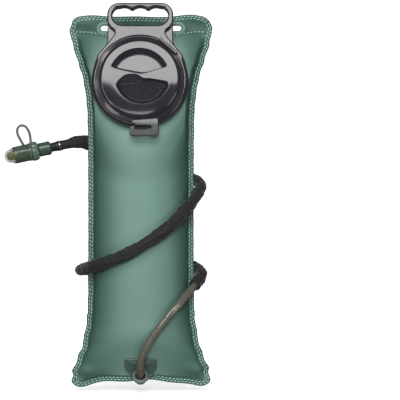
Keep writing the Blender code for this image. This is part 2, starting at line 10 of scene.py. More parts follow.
import bmesh
import bpy
from bpy.props import FloatProperty, FloatVectorProperty, IntProperty, PointerProperty
from mathutils import Matrix, Vector, noise

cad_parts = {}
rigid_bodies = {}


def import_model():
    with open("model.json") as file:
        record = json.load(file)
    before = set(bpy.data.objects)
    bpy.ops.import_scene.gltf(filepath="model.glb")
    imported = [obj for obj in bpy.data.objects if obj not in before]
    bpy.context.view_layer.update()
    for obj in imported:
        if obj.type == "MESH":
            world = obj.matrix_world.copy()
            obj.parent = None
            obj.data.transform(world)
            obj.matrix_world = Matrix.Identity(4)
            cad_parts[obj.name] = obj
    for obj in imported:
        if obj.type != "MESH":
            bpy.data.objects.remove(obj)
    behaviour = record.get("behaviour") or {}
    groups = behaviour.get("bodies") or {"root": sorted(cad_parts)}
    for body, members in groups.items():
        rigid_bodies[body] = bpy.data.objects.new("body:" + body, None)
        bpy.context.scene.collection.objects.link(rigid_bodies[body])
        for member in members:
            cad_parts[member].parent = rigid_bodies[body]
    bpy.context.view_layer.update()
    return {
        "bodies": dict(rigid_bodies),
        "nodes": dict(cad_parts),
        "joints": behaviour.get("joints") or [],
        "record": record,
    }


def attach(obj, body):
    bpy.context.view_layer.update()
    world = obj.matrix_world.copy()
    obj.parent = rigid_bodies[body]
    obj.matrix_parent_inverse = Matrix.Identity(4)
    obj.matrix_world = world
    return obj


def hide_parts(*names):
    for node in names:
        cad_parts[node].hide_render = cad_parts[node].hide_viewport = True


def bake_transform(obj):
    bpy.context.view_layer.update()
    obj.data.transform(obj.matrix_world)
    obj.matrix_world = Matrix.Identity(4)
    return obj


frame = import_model()

bl_info = {
    "name": "Hydration bladder",
    "version": (1, 0, 0),
    "blender": (4, 5, 0),
    "location": "View3D > Sidebar > Bladder",
    "description": "Builds the films, fill port, outlet, drinking tube and bite valve",
    "category": "Object",
}

# ---------------------------------------------------------------- sizes shared with the frame
GAP, FILM, SEAM = 0.0003, 0.0006, 0.0062
SKIN = (GAP + FILM) / 2
FACE = SKIN + FILM / 2                      # from the weld plane to the outside of a film
OUTLINE = ((0.0168, 0.0655), (0.0125, 0.0745), (0.0040, 0.0785), (-0.0080, 0.0788),
           (-0.0300, 0.0728), (-0.0560, 0.0648), (-0.0900, 0.0602), (-0.1500, 0.0592),
           (-0.2900, 0.0592), (-0.3280, 0.0610), (-0.3580, 0.0668), (-0.3820, 0.0755),
           (-0.3930, 0.0775), (-0.4000, 0.0750), (-0.4040, 0.0680))
TOP_EDGE, TOP_EAR = 0.0129, 0.0039
TOP_WELD, TOP_WELD_RISE = -0.0112, 0.0060
FOOT_WELD = -0.3880
FOOT_EDGE, FOOT_EAR = -0.3942, 0.0096
HALF_DEPTH, SIDE_POWER, END_POWER, END_FALL = 0.0440, 2.3, 4.0, 0.6
PORT_Y, PORT_Z, PORT_LEAN = -0.0340, -0.0624, math.radians(12.0)
MOUTH_R, NECK_R, WELD_R, NECK_TOP = 0.0402, 0.0424, 0.0462, 0.0106
COLLAR_R, COLLAR_BORE, COLLAR_TOP = 0.0540, 0.0460, 0.0120
CAP_R, CAP_FACE, CAP_SKIRT, CAP_FLOOR = 0.0450, 0.0220, 0.0040, 0.0120
GRIP_R, GRIP_DEPTHS, GRIP_TILTS = 0.0335, (0.0085, 0.0085), (math.radians(5.5), math.radians(8.0))
GRIP_DRAFT, GRIP_FILLET = 0.0052, 0.0009     # how far the walls slope in, and their foot
# Where each hollow meets the finger bar: its mouth, then its floor.
UPPER_EDGE = ((-0.0290, 0.0112), (-0.0205, 0.0086), (-0.0110, 0.0064), (-0.0040, 0.0050),
              (0.0020, 0.0044), (0.0080, 0.0056), (0.0150, 0.0080), (0.0235, 0.0104),
              (0.0295, 0.0124))
UPPER_FLOOR = ((-0.0240, 0.0120), (-0.0185, 0.0106), (-0.0100, 0.0090), (-0.0030, 0.0076),
               (0.0030, 0.0068), (0.0090, 0.0076), (0.0150, 0.0092), (0.0200, 0.0108),
               (0.0240, 0.0121))
LOWER_EDGE = ((0.0305, -0.0044), (0.0200, -0.0024), (0.0123, -0.0011), (0.0070, -0.0008),
              (0.0030, -0.0004), (0.0000, 0.0020), (-0.0040, 0.0036), (-0.0110, 0.0040),
              (-0.0160, 0.0028), (-0.0200, 0.0000), (-0.0240, -0.0040))
LOWER_FLOOR = ((0.0255, -0.0072), (0.0200, -0.0048), (0.0150, -0.0032), (0.0100, -0.0022),
               (0.0055, -0.0014), (0.0015, -0.0024), (-0.0030, -0.0042), (-0.0080, -0.0056),
               (-0.0130, -0.0060), (-0.0165, -0.0059), (-0.0200, -0.0057))
CORNER = 0.0050                             # how far the bag's corners are rounded off
# How far the welded edge waves: out of its plane three times, then within it.
FOOT_WAVE, HEAD_WAVE, SIDE_WAVE, EDGE_WAVE = 0.0021, 0.0012, 0.0013, 0.00125
DASH_INSETS, HEADER_DASH_RISE = (0.0021, 0.0045), 0.0012    # where the weld marks run
STRAP_START, STRAP_END = Vector((0.0212, 0.0458)), Vector((0.0402, 0.0292))
BEAD_STEP = 0.0010                          # between rings of points on beads and rims
SLOT_RIM = (0.0018, 0.0009)                 # half width and height of the oval round a slot
RIM_BEAD, FOOT_BEAD, RIB_BEAD = 0.00040, 0.00045, 0.0009    # radii of the moulded beads
RIB_SCALES = (0.94, 0.80, 0.66, 0.53)       # the outlet flange's ribs, against its outline
STEM_COLLARS = ((0.0056, -0.0040), (0.0053, -0.0018), (0.0056, -0.0086))    # radius, foot
SAME_SPOT = 0.000004                        # points closer than this are one
FLAT_WEIGHT = 80                            # how strongly broad faces keep their shading flat
RING_BORE, RING_R, RING_LOW, RING_HIGH = 0.0443, 0.0493, 0.0124, 0.0154
HANDLE_TOP, HANDLE_HALF, HANDLE_CORNER = 0.0876, 0.0365, 0.0130
FINGER_LOW, FINGER_HIGH, FINGER_HALF = 0.0620, 0.0835, 0.0310
BACK_LOW, BACK_HIGH, FRONT_HIGH = 0.0045, 0.0095, 0.0150
SLOT_X, SLOT_HALF, SLOT_R = 0.0370, 0.0080, 0.0028
OUTLET_Y, OUTLET_Z, OUTLET_LEAN = -0.0105, -0.3785, math.radians(36.0)
ELBOW_REACH, ELBOW_R = 0.0177, 0.0074
TUBE_R, TUBE_BORE, SLEEVE_BORE = 0.0044, 0.0031, 0.0050
ROUTE = ((0.0000, -0.0271, -0.3856), (0.0000, -0.0341, -0.3760), (0.0015, -0.0386, -0.3665),
         (0.0058, -0.0415, -0.3560), (0.0125, -0.0436, -0.3450), (0.0225, -0.0443, -0.3310),
         (0.0325, -0.0428, -0.3185), (0.0425, -0.0379, -0.3075), (0.0523, -0.0281, -0.2960),
         (0.0616, -0.0150, -0.2850), (0.0672, 0.0005, -0.2755), (0.0612, 0.0188, -0.2690),
         (0.0482, 0.0364, -0.2650), (0.0275, 0.0477, -0.2630), (0.0000, 0.0520, -0.2630),
         (-0.0275, 0.0477, -0.2650), (-0.0482, 0.0364, -0.2675), (-0.0612, 0.0188, -0.2695),
         (-0.0672, 0.0005, -0.2700), (-0.0602, -0.0180, -0.2680), (-0.0460, -0.0368, -0.2640),
         (-0.0250, -0.0484, -0.2565), (0.0000, -0.0519, -0.2440), (0.0230, -0.0490, -0.2285),
         (0.0411, -0.0405, -0.2130), (0.0550, -0.0262, -0.1980), (0.0635, -0.0112, -0.1850),
         (0.0672, 0.0030, -0.1765), (0.0608, 0.0196, -0.1700), (0.0472, 0.0372, -0.1640),
         (0.0262, 0.0486, -0.1565), (0.0000, 0.0520, -0.1475), (-0.0270, 0.0493, -0.1380),
         (-0.0490, 0.0428, -0.1297), (-0.0690, 0.0354, -0.1262), (-0.0850, 0.0318, -0.1288),
         (-0.0985, 0.0290, -0.1318))
SLEEVE_FROM, SLEEVE_TO = 0.130, 0.0080      # bare tube before the sleeve and after it
VALVE_AXIS = (Vector(ROUTE[-1]) - Vector(ROUTE[-2])).normalized()
TUBE_STEP, SLEEVE_STEP = 0.0040, 0.0011      # between rings of points along the route
HOUSING_LOW, HOUSING_HIGH, HOUSING_R = 0.0050, 0.0215, 0.0080
TWIST_R, TWIST_HIGH = 0.0110, 0.0305
COVER_R, COVER_WALL, COVER_LONG = 0.0096, 0.0012, 0.0300
BITE_R, BITE_LONG = 0.0062, 0.0285
TONGUE_LONG, TONGUE_TURN = 0.0030, 0.32      # the moulded tongue on the dust cover
LOOP = ((-0.1253, -0.1275), (-0.1256, -0.1230), (-0.1262, -0.1185), (-0.1282, -0.1130),
        (-0.1312, -0.1092), (-0.1350, -0.1079), (-0.1386, -0.1094), (-0.1404, -0.1136),
        (-0.1396, -0.1184), (-0.1372, -0.1232), (-0.1344, -0.1282), (-0.1328, -0.1308))

PORT = Matrix.Translation((0.0, PORT_Y, PORT_Z)) @ Matrix.Rotation(math.pi / 2 - PORT_LEAN, 4, "X")
OUTLET = (Matrix.Translation((0.0, OUTLET_Y, OUTLET_Z))
          @ Matrix.Rotation(math.pi / 2 + OUTLET_LEAN, 4, "X"))
SPIGOT = (OUTLET @ Matrix.Translation((0.0, 0.0, ELBOW_REACH))
          @ Matrix.Rotation(-math.pi / 2, 4, "X"))
VALVE = Matrix.Translation(ROUTE[-1]) @ VALVE_AXIS.to_track_quat("Z", "Y").to_matrix().to_4x4()


# ---------------------------------------------------------------- finishes
class Value:
    """A number in a shader.  Arithmetic on it adds Math nodes."""

    def __init__(self, finish, socket):
        self.finish = finish
        self.socket = socket

    def maths(self, operation, *others):
        """One Math node over this value and up to two others."""
        inputs = dict(enumerate((self, *others)))
        made = self.finish.node("ShaderNodeMath", {"operation": operation}, inputs)
        return Value(self.finish, made.outputs[0])

    def lifted(self, other):
        """A plain number as a Value, so that it can stand on the left."""
        made = self.finish.node("ShaderNodeMath", {"operation": "ADD"}, {0: other, 1: 0.0})
        return Value(self.finish, made.outputs[0])

    def __add__(self, other):
        return self.maths("ADD", other)

    def __sub__(self, other):
        return self.maths("SUBTRACT", other)

    def __rsub__(self, other):
        return self.lifted(other).maths("SUBTRACT", self)

    def __mul__(self, other):
        return self.maths("MULTIPLY", other)

    __radd__ = __add__
    __rmul__ = __mul__

    def band(self, low, high):
        """Zero below low, one above high, and smooth between."""
        made = self.finish.node("ShaderNodeMapRange", {"interpolation_type": "SMOOTHSTEP"},
                                {"Value": self, "From Min": low, "From Max": high})
        return Value(self.finish, made.outputs["Result"])


class Finish:
    """One material.  Every node but its shader comes from node()."""

    def __init__(self, name, **constants):
        self.material = bpy.data.materials.new(name)
        self.material.use_nodes = True
        self.tree = self.material.node_tree
        self.shader = self.tree.nodes["Principled BSDF"]
        for socket, value in constants.items():
            self.shader.inputs[socket.replace("_", " ")].default_value = value
        self.place = self.node("ShaderNodeTexCoord").outputs["Object"]

    def node(self, kind, settings=None, inputs=None):
        """Add a node, set what it is, then fill or link its sockets."""
        made = self.tree.nodes.new(kind)
        for name, value in (settings or {}).items():
            setattr(made, name, value)
        for key, value in (inputs or {}).items():
            self.feed(made.inputs[key], value)
        return made

    def feed(self, socket, value):
        """Link a Value or a socket, or set a plain number or colour."""
        if isinstance(value, Value):
            value = value.socket
        if isinstance(value, bpy.types.NodeSocket):
            self.tree.links.new(value, socket)
        elif isinstance(value, tuple) and socket.type == "RGBA" and len(value) == 3:
            socket.default_value = (*value, 1.0)
        else:
            socket.default_value = value

    def stretched(self, *scale):
        """The object's own coordinates, stretched along each axis."""
        made = self.node("ShaderNodeVectorMath", {"operation": "MULTIPLY"},
                         {0: self.place, 1: scale})
        return made.outputs[0]

    def grain(self, scale, detail=3.0, roughness=0.5, place=None):
        """Cloudy noise from 0 to 1."""
        made = self.node("ShaderNodeTexNoise", None,
                         {"Vector": place or self.place, "Scale": scale, "Detail": detail,
                          "Roughness": roughness})
        return Value(self, made.outputs[0])

    def layer(self, name):
        """A number stored on the mesh's points."""
        made = self.node("ShaderNodeAttribute", {"attribute_name": name})
        return Value(self, made.outputs["Fac"])

    def blend(self, share, first, second):
        """Mix two colours."""
        made = self.node("ShaderNodeMix", {"data_type": "RGBA"}, {0: share, 6: first, 7: second})
        return made.outputs[2]

    def mottled(self, colour, cloud, low, high, darkest, lightest):
        """One colour, from darker to lighter as a cloudy number goes from low to high."""
        return self.blend(cloud.band(low, high), tint(colour, darkest), tint(colour, lightest))

    def look(self, colour=None, roughness=None, relief=(), coat=None, alpha=None):
        """Feed the shader.  relief is pairs of a height and its depth in metres."""
        for name, value in (("Base Color", colour), ("Roughness", roughness),
                            ("Coat Weight", coat), ("Alpha", alpha)):
            if value is not None:
                self.feed(self.shader.inputs[name], value)
        normal = None
        for height, depth in relief:
            inputs = {"Height": height, "Distance": depth, "Strength": 1.0}
            if normal is not None:
                inputs["Normal"] = normal
            normal = self.node("ShaderNodeBump", None, inputs).outputs[0]
        if normal is not None:
            self.feed(self.shader.inputs["Normal"], normal)
        return self.material


def tint(colour, factor):
    """A colour made lighter or darker."""
    return tuple(min(1.0, part * factor) for part in colour)


def film_finish(settings):
    """Satin film: cloudy green, flatter and darker where the welds press it, with painted shade
    towards its sides.
    """
    finish = Finish("film_green", Specular_IOR_Level=0.55, Coat_Roughness=0.45)
    green = tuple(settings.film_colour)
    cloud = finish.grain(9.0, 3.0)
    mottle = finish.grain(160.0, 2.0)
    pressed = finish.layer("weld")
    base = finish.mottled(green, cloud, 0.30, 0.72, 0.94, 1.06)
    # painted shade: the film is blended towards a dark colour where it turns away at its sides
    base = finish.blend(0.66 * finish.layer("turned"), base, tuple(settings.painted_side_shade_colour))
    base = finish.blend(pressed * 0.97, base, tuple(settings.weld_colour))
    roughness = 0.44 + 0.08 * mottle + 0.12 * pressed
    grain = finish.grain(900.0, 2.0, 0.6)
    return finish.look(base, roughness, ((grain, 0.00004), (mottle, 0.00005)),
                       coat=0.06 + 0.04 * mottle)


def dash_finish(settings):
    """Raised weld marks, paler than the film round them."""
    finish = Finish("weld_mark", Specular_IOR_Level=0.5)
    pale = tuple(settings.dash_colour)
    worn = finish.grain(240.0, 2.0)
    colour = finish.mottled(pale, worn, 0.35, 0.65, 0.82, 1.0)
    return finish.look(colour, 0.30 + 0.15 * worn, ((finish.grain(1500.0), 0.00003),))


def moulded_finish(name, colour, gloss, scuff=1.0, clear=0.0):
    """Polished moulding: faint orange-peel, fine scuffs, and dust in the broad faces."""
    finish = Finish(name, Specular_IOR_Level=0.55, Coat_Roughness=0.06)
    peel = finish.grain(260.0, 2.0)
    dust = finish.grain(34.0, 4.0, 0.6)
    scratch = finish.grain(90.0, 5.0, 0.7, finish.stretched(1.0, 1.0, 9.0))
    base = finish.mottled(colour, dust, 0.35, 0.75, 0.88, 1.18)
    roughness = gloss + 0.03 * dust + 0.07 * scuff * scratch.band(0.58, 0.78)
    finish.look(base, roughness, ((peel, 0.000015 * scuff), (scratch, 0.000004 * scuff)),
                coat=0.5 - 0.2 * scratch.band(0.5, 0.8))
    if clear:
        finish.shader.inputs["Transmission Weight"].default_value = clear
        finish.shader.inputs["IOR"].default_value = 1.46
    return finish.material


def rubber_finish(name, colour, roughness=0.55):
    """Soft rubber with a fine tooth."""
    finish = Finish(name, Specular_IOR_Level=0.4)
    tooth = finish.grain(1400.0, 2.0)
    patch = finish.grain(120.0, 3.0)
    base = finish.mottled(colour, patch, 0.3, 0.7, 0.85, 1.2)
    return finish.look(base, roughness + 0.15 * patch, ((tooth, 0.00005),))


def sleeve_finish(settings):
    """Black knit over foam: fine ribs along the sleeve, a little lint, soft sheen."""
    finish = Finish("sleeve_knit", Specular_IOR_Level=0.30, Sheen_Weight=0.22, Sheen_Roughness=0.4)
    rib = finish.layer("rib")
    course = finish.layer("course")
    lint = finish.grain(700.0, 3.0, 0.7)
    base = finish.mottled(tuple(settings.sleeve_colour), lint, 0.55, 0.80, 1.0, 2.4)
    return finish.look(base, 0.52 + 0.25 * lint, ((rib * course, 0.00022), (lint, 0.00015)))


def tube_finish(settings):
    """Smoky clear tube, glossy and a little hazy."""
    finish = Finish("tube_smoke", Specular_IOR_Level=0.7, Transmission_Weight=0.60, IOR=1.36,
                    Coat_Weight=0.8, Coat_Roughness=0.05)
    haze = finish.grain(30.0, 3.0)
    base = finish.mottled(tuple(settings.smoke), haze, 0.3, 0.7, 0.8, 1.25)
    return finish.look(base, 0.20 + 0.10 * haze, ((finish.grain(120.0), 0.00001),))


def cover_finish(settings):
    """Tinted clear moulding, clearest at its nose."""
    finish = Finish("cover_clear", Specular_IOR_Level=0.6, Transmission_Weight=0.50, IOR=1.30,
                    Coat_Weight=0.4, Coat_Roughness=0.06)
    cloud = finish.grain(60.0, 3.0)
    base = finish.mottled(tuple(settings.cover), cloud, 0.3, 0.7, 0.82, 1.0)
    return finish.look(base, 0.10 + 0.10 * cloud, ((finish.grain(180.0), 0.00003),),
                       alpha=1.0 - 0.62 * finish.layer("nose"))


def paper_finish(settings):
    """Pale backdrop paper that glows; near the bladder it glows less, so a shadow shows."""
    finish = Finish("backdrop_paper", Specular_IOR_Level=0.1, Emission_Strength=settings.glow)
    fibre = finish.grain(40.0, 3.0)
    away = finish.node("ShaderNodeVectorMath", {"operation": "LENGTH"}, {0: finish.place})
    far = Value(finish, away.outputs["Value"]).band(0.55, 1.10)
    glow = finish.blend(far, (0.44, 0.44, 0.46), (1.0, 1.0, 1.0))
    finish.feed(finish.shader.inputs["Emission Color"], glow)
    pale = tuple(settings.pale)
    return finish.look(finish.blend(fibre, tint(pale, 0.99), pale), 0.9)


def metal_finish():
    """Bright crimped band, brushed round."""
    finish = Finish("band_silver", Metallic=1.0)
    brush = finish.grain(60.0, 4.0, 0.6, finish.stretched(14.0, 1.0, 1.0))
    base = finish.blend(brush, (0.30, 0.31, 0.32), (0.55, 0.55, 0.55))
    return finish.look(base, 0.22 + 0.2 * brush, ((brush, 0.00003),))


# ---------------------------------------------------------------- mesh tools
def ease(value):
    """Zero below 0, one above 1, and smooth between."""
    value = max(0.0, min(1.0, value))
    return value * value * (3.0 - 2.0 * value)


def mix(first, second, share):
    """A number between two others."""
    return first + (second - first) * share


def cubic(before, start, end, after, share):
    """A point on the smooth curve between two of four points."""
    return 0.5 * (2 * start + (end - before) * share
                  + (2 * before - 5 * start + 4 * end - after) * share ** 2
                  + (3 * start - before - 3 * end + after) * share ** 3)


def smooth_route(points, spacing):
    """Evenly spaced points on one smooth curve through the given ones."""
    knots = [Vector(point) for point in points]
    knots = [2 * knots[0] - knots[1], *knots, 2 * knots[-1] - knots[-2]]
    fine = [cubic(*knots[index - 1:index + 3], step / 20)
            for index in range(1, len(knots) - 2) for step in range(20)] + [knots[-2]]
    return evenly(fine, spacing)


def evenly(points, spacing):
    """The same line with its points an even distance apart."""
    run = [0.0]
    for first, second in zip(points, points[1:]):
        run.append(run[-1] + (second - first).length)
    count = max(1, round(run[-1] / spacing))
    even, place = [], 0
    for index in range(count + 1):
        target = run[-1] * index / count
        while place < len(run) - 2 and run[place + 1] < target:
            place += 1
        share = (target - run[place]) / max(run[place + 1] - run[place], 1e-9)
        even.append(points[place].lerp(points[place + 1], min(share, 1.0)))
    return even


def arc(centre, radius, start, end, steps):
    """Points along an arc, by angle in degrees."""
    for index in range(steps + 1):
        angle = math.radians(start + (end - start) * index / steps)
        yield centre[0] + radius * math.cos(angle), centre[1] + radius * math.sin(angle)


def stadium(centre_x, half, radius, centre_y=0.0, steps=12):
    """A long outline with round ends."""
    straight = half - radius
    return [*arc((centre_x + straight, centre_y), radius, -90, 90, steps),
            *arc((centre_x - straight, centre_y), radius, 90, 270, steps)]


def rounded(profile, radius, closed=False, steps=4):
    """Round the corners of a profile, each by no more than its sides allow."""
    count = len(profile)
    result = []
    for index, point in enumerate(profile):
        if not closed and index in (0, count - 1):
            result.append(Vector(point))
            continue
        here = Vector(point)
        before = Vector(profile[index - 1]) - here
        after = Vector(profile[(index + 1) % count]) - here
        reach = min(radius, before.length * 0.45, after.length * 0.45)
        start, end = here + before.normalized() * reach, here + after.normalized() * reach
        for step in range(steps + 1):
            share = step / steps
            result.append(start.lerp(here, share).lerp(here.lerp(end, share), share))
    return [tuple(point) for point in result]


def linked(name, data):
    """A new object in the scene."""
    made = bpy.data.objects.new(name, data)
    bpy.context.scene.collection.objects.link(made)
    return made


def baked(*items):
    """The first object's finished mesh; all the objects are then taken out again."""
    bpy.context.view_layer.update()
    shown = items[0].evaluated_get(bpy.context.evaluated_depsgraph_get())
    made = bpy.data.meshes.new_from_object(shown)
    for item in items:
        bpy.data.objects.remove(item, do_unlink=True)
    return made


def shaded(mesh, crease=40.0):
    """The mesh, smooth but for edges sharper than the crease angle."""
    mesh.shade_smooth()
    mesh.set_sharp_from_angle(angle=math.radians(crease))
    return mesh


def closed_up(mesh, crease=40.0):
    """The mesh with its double points made one and its faces looking outwards, shaded."""
    form = bmesh.new()
    form.from_mesh(mesh)
    bmesh.ops.remove_doubles(form, verts=form.verts, dist=SAME_SPOT)
    bmesh.ops.recalc_face_normals(form, faces=form.faces)
    form.to_mesh(mesh)
    form.free()
    return shaded(mesh, crease)


def layered(mesh, name, values):
    """Store a number on every point, for the finish to read."""
    mesh.attributes.new(name, "FLOAT", "POINT").data.foreach_set("value", values)


def mesh_of(name, points, faces, crease=40.0):
    """A shaded mesh whose faces all look outwards."""
    mesh = bpy.data.meshes.new(name)
    mesh.from_pydata([tuple(point) for point in points], [], faces)
    return closed_up(mesh, crease)


def ring_faces(rows, around, closed_rows=False):
    """Quads between rings of points."""
    last = rows if closed_rows else rows - 1
    return [(row * around + spot, row * around + (spot + 1) % around,
             (row + 1) % rows * around + (spot + 1) % around, (row + 1) % rows * around + spot)
            for row in range(last) for spot in range(around)]


def tube_faces(rows, around):
    """Quads between rings of points, with a face over each end."""
    last = (rows - 1) * around
    ends = [tuple(range(around))[::-1], tuple(range(last, last + around))]
    return ring_faces(rows, around) + ends


def turned(name, profile, place, ring=False, steps=96, crease=40.0):
    """Turn a profile of (radius, height) about an axis."""
    points = []
    for radius, height in profile:
        for step in range(steps):
            angle = math.tau * step / steps
            x, y = radius * math.cos(angle), radius * math.sin(angle)
            points.append(place @ Vector((x, y, height)))
    return mesh_of(name, points, ring_faces(len(profile), steps, ring), crease)


def plug(radius, high, low, place, steps=96):
    """A round plug, to cut a bore with."""
    return turned("plug", [(0.0, high), (radius, high), (radius, low), (0.0, low)], place,
                  steps=steps)


def frames_along(path):
    """A direction and two steady cross directions at every point of a path."""
    frames, side = [], None
    for index, point in enumerate(path):
        ahead = (path[min(index + 1, len(path) - 1)] - path[max(index - 1, 0)]).normalized()
        if side is None:
            side = ahead.orthogonal().normalized()
        side = (side - ahead * side.dot(ahead)).normalized()
        frames.append((point, ahead, side, ahead.cross(side)))
    return frames


def hose_mesh(name, path, outer, bore=None, around=24, crease=50.0):
    """A round hose along a path.  outer is a radius, or a function of run share and angle."""
    radius_of = outer if callable(outer) else (lambda share, angle: outer)
    frames = frames_along(path)
    points = []
    rings = [(frame, radius_of) for frame in frames]
    if bore:
        rings += [(frame, lambda share, angle: bore) for frame in reversed(frames)]
    shares = [index / (len(frames) - 1) for index in range(len(frames))]
    if bore:
        shares += list(reversed(shares))
    for ((centre, _, side, up), rule), share in zip(rings, shares):
        for step in range(around):
            angle = math.tau * step / around
            spoke = side * math.cos(angle) + up * math.sin(angle)
            points.append(centre + spoke * rule(share, angle))
    faces = ring_faces(len(rings), around, True) if bore else tube_faces(len(rings), around)
    return mesh_of(name, points, faces, crease)


def plate(name, outlines, low, high, edge, place, steps=3):
    """A flat plate with rounded edges; outlines inside others are holes."""
    curve = bpy.data.curves.new(name, "CURVE")
    curve.dimensions = "2D"
    curve.fill_mode = "BOTH"
    curve.extrude = (high - low) / 2.0 - edge
    curve.bevel_depth = edge
    curve.bevel_resolution = steps
    curve.offset = -edge
    for outline in outlines:
        spline = curve.splines.new("POLY")
        spline.points.add(len(outline) - 1)
        for point, (across, up) in zip(spline.points, outline):
            point.co = (across, up, 0.0, 1.0)
        spline.use_cyclic_u = True
    mesh = baked(linked(name, curve))
    mesh.transform(place @ Matrix.Translation((0.0, 0.0, (low + high) / 2.0)))
    mesh.materials.clear()
    return closed_up(mesh)


def joined(name, meshes, crease=40.0):
    """Several meshes as one."""
    form = bmesh.new()
    for mesh in meshes:
        form.from_mesh(mesh)
    made = bpy.data.meshes.new(name)
    form.to_mesh(made)
    form.free()
    return shaded(made, crease)


def worked(mesh, other, operation):
    """A mesh joined with, or cut by, another one."""
    whole, tool = linked("work", mesh), linked("work", other)
    step = whole.modifiers.new("work", "BOOLEAN")
    step.operation = operation
    step.object = tool
    made = baked(whole, tool)
    made.name = mesh.name
    return shaded(made)


def piece(name, mesh, material, body, nodes=(), flat=False):
    """Put a finished mesh in the scene, riding on its body.  flat keeps broad faces flat."""
    made = linked(name, mesh)
    if flat:
        shading = made.modifiers.new("flat_faces", "WEIGHTED_NORMAL")
        shading.keep_sharp = True
        shading.weight = FLAT_WEIGHT
    mesh.materials.clear()
    mesh.materials.append(material)
    if body:
        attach(made, body)
    if nodes:
        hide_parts(*nodes)
    return made


# ---------------------------------------------------------------- the films
def half_width(height):
    """Half width of the outline at a height."""
    rows = OUTLINE
    if height >= rows[0][0]:
        return rows[0][1]
    for index in range(len(rows) - 1):
        (high, wide), (low, narrow) = rows[index], rows[index + 1]
        if height >= low:
            before = rows[max(index - 1, 0)][1]
            after = rows[min(index + 2, len(rows) - 1)][1]
            return cubic(before, wide, narrow, after, (high - height) / (high - low))
    return rows[-1][1]


def weld_heights(across):
    """Top edge, header weld, foot weld and bottom edge; across runs from -1 to 1."""
    side = abs(across)
    top = TOP_EDGE + TOP_EAR * side ** 2 - 0.0035 * side ** 10
    header = TOP_WELD + TOP_WELD_RISE * ease((side - 0.35) / 0.5)
    foot = FOOT_WELD - FOOT_EAR * 0.75 * side ** 4
    bottom = FOOT_EDGE - FOOT_EAR * side ** 3 + 0.0030 * side ** 12
    return top, header, foot, bottom


def patch_of(along, across, reach, fade):
    """How much of the film at this spot lies flat under a fitting."""
    return 1.0 - ease((math.hypot(along, across) - reach) / fade)


def hump(distance, crest):
    """Nothing at the weld, one at the crest, fading beyond."""
    return distance / crest * math.exp(1.0 - distance / crest)


def fading(distance, reach):
    """One up to an edge, dying away beyond it."""
    return math.exp(-max(0.0, distance) / reach)


def peak(distance, reach):
    """One on a line, dying away on both sides of it."""
    return math.exp(-(distance / reach) ** 2)


def ripple(x, height):
    """How far the welded edge waves out of its plane."""
    foot = fading(height - FOOT_EDGE, 0.022)
    head = fading(TOP_EDGE - height, 0.020)
    ends = fading(height + 0.385, 0.050) + fading(0.010 - height, 0.050)
    side = ease((abs(x) - 0.045) / 0.020)
    drift = noise.noise((x * 30.0, 0.0, height * 30.0))
    low_wave = FOOT_WAVE * math.sin(x * 105.0 + 0.9 + drift)
    top_wave = HEAD_WAVE * math.sin(x * 78.0 - 0.4 + drift)
    side_wave = SIDE_WAVE * math.sin(height * 290.0 + 2.0 * drift + (1.0 if x > 0 else 2.6))
    return foot * low_wave + head * top_wave + min(ends, 1.0) * side * side_wave


def bulge(x, height, share, drop, front, gaps, depth_of_fold):
    """Distance of the film from the weld plane, with the folds where it gathers."""
    round_side = max(0.0, 1.0 - share ** SIDE_POWER) ** (1.0 / SIDE_POWER)
    round_end = max(0.0, 1.0 - abs(2.0 * drop - 1.0) ** END_POWER) ** END_FALL
    depth = HALF_DEPTH * round_side * round_end
    side_gap, head_gap, foot_gap = gaps
    turn = 1.3 if front else 4.7
    near_end = math.exp(-head_gap / 0.050) + math.exp(-foot_gap / 0.055)
    drift = noise.noise((x * 16.0, turn, height * 16.0))
    side_fold = math.sin(height * 330.0 + 4.0 * drift + turn * (2 if x > 0 else 1))
    foot_fold = math.sin(x * 205.0 + 3.0 * drift + turn)
    head_fold = math.sin(x * 240.0 + 3.0 * drift + turn * 2.0)
    fold = (side_fold * near_end * hump(side_gap, 0.0070)
            + 0.9 * foot_fold * hump(foot_gap, 0.0100) * ease(side_gap / 0.02)
            + 0.6 * head_fold * hump(head_gap, 0.0080) * ease(side_gap / 0.02))
    corner = hump(side_gap, 0.016) * (hump(foot_gap, 0.018) + 0.8 * hump(head_gap, 0.018))
    broad = noise.noise((x * 11.0, turn, height * 7.0)) * ease(min(gaps) / 0.03)
    folds = depth_of_fold * (fold + 0.4 * broad - 1.0 * corner)
    if not front:
        return depth + folds
    edge = ease((1.0 - share) / 0.07) * ease(drop / 0.003) * ease((1.0 - drop) / 0.004)
    up = height - PORT_Z
    port_depth = -PORT_Y - up * math.tan(PORT_LEAN) - SKIN
    along = up / math.cos(PORT_LEAN) * (1.0 if up > 0.0 else 0.82)
    port = patch_of(along, x, 0.0530, 0.0420)
    up = height - OUTLET_Z
    outlet_depth = -OUTLET_Y + up * math.tan(OUTLET_LEAN) - SKIN
    outlet = patch_of(up / math.cos(OUTLET_LEAN), x, 0.0195, 0.0500)
    depth += folds * (1.0 - port) * (1.0 - outlet)
    depth = mix(depth, port_depth, edge * port)
    return mix(depth, outlet_depth, edge * outlet)


def flat_spot(across, beyond, height):
    """Where a point of the film lies in the weld plane: x and height.

    beyond runs from 0 at the side weld to 1 at the cut edge.  The edge waves where the
    filled bag gathers it, near both ends.
    """
    x = across * (half_width(height) - SEAM) + math.copysign(SEAM * beyond, across)
    ends = fading(height + 0.392, 0.042) + 0.55 * fading(0.004 - height, 0.050) + 0.12
    turn = 0.8 if across > 0 else 2.9
    drift = noise.noise((turn, 0.0, height * 24.0))
    wave = math.sin(height * 315.0 + 3.2 * drift + turn) + 0.3 * math.sin(height * 610.0 + turn)
    clear = ease((height + 0.400) / 0.014) * ease((0.016 - height) / 0.012)
    x += math.copysign(abs(across) ** 8, across) * EDGE_WAVE * min(ends, 1.0) * wave * clear
    low, high = peak(height - FOOT_EDGE, 0.010), peak(height - TOP_EDGE, 0.009)
    height += low * 0.0010 * math.sin(x * 118.0 + 0.5) + high * 0.0006 * math.sin(x * 96.0 + 2.0)
    return x, height


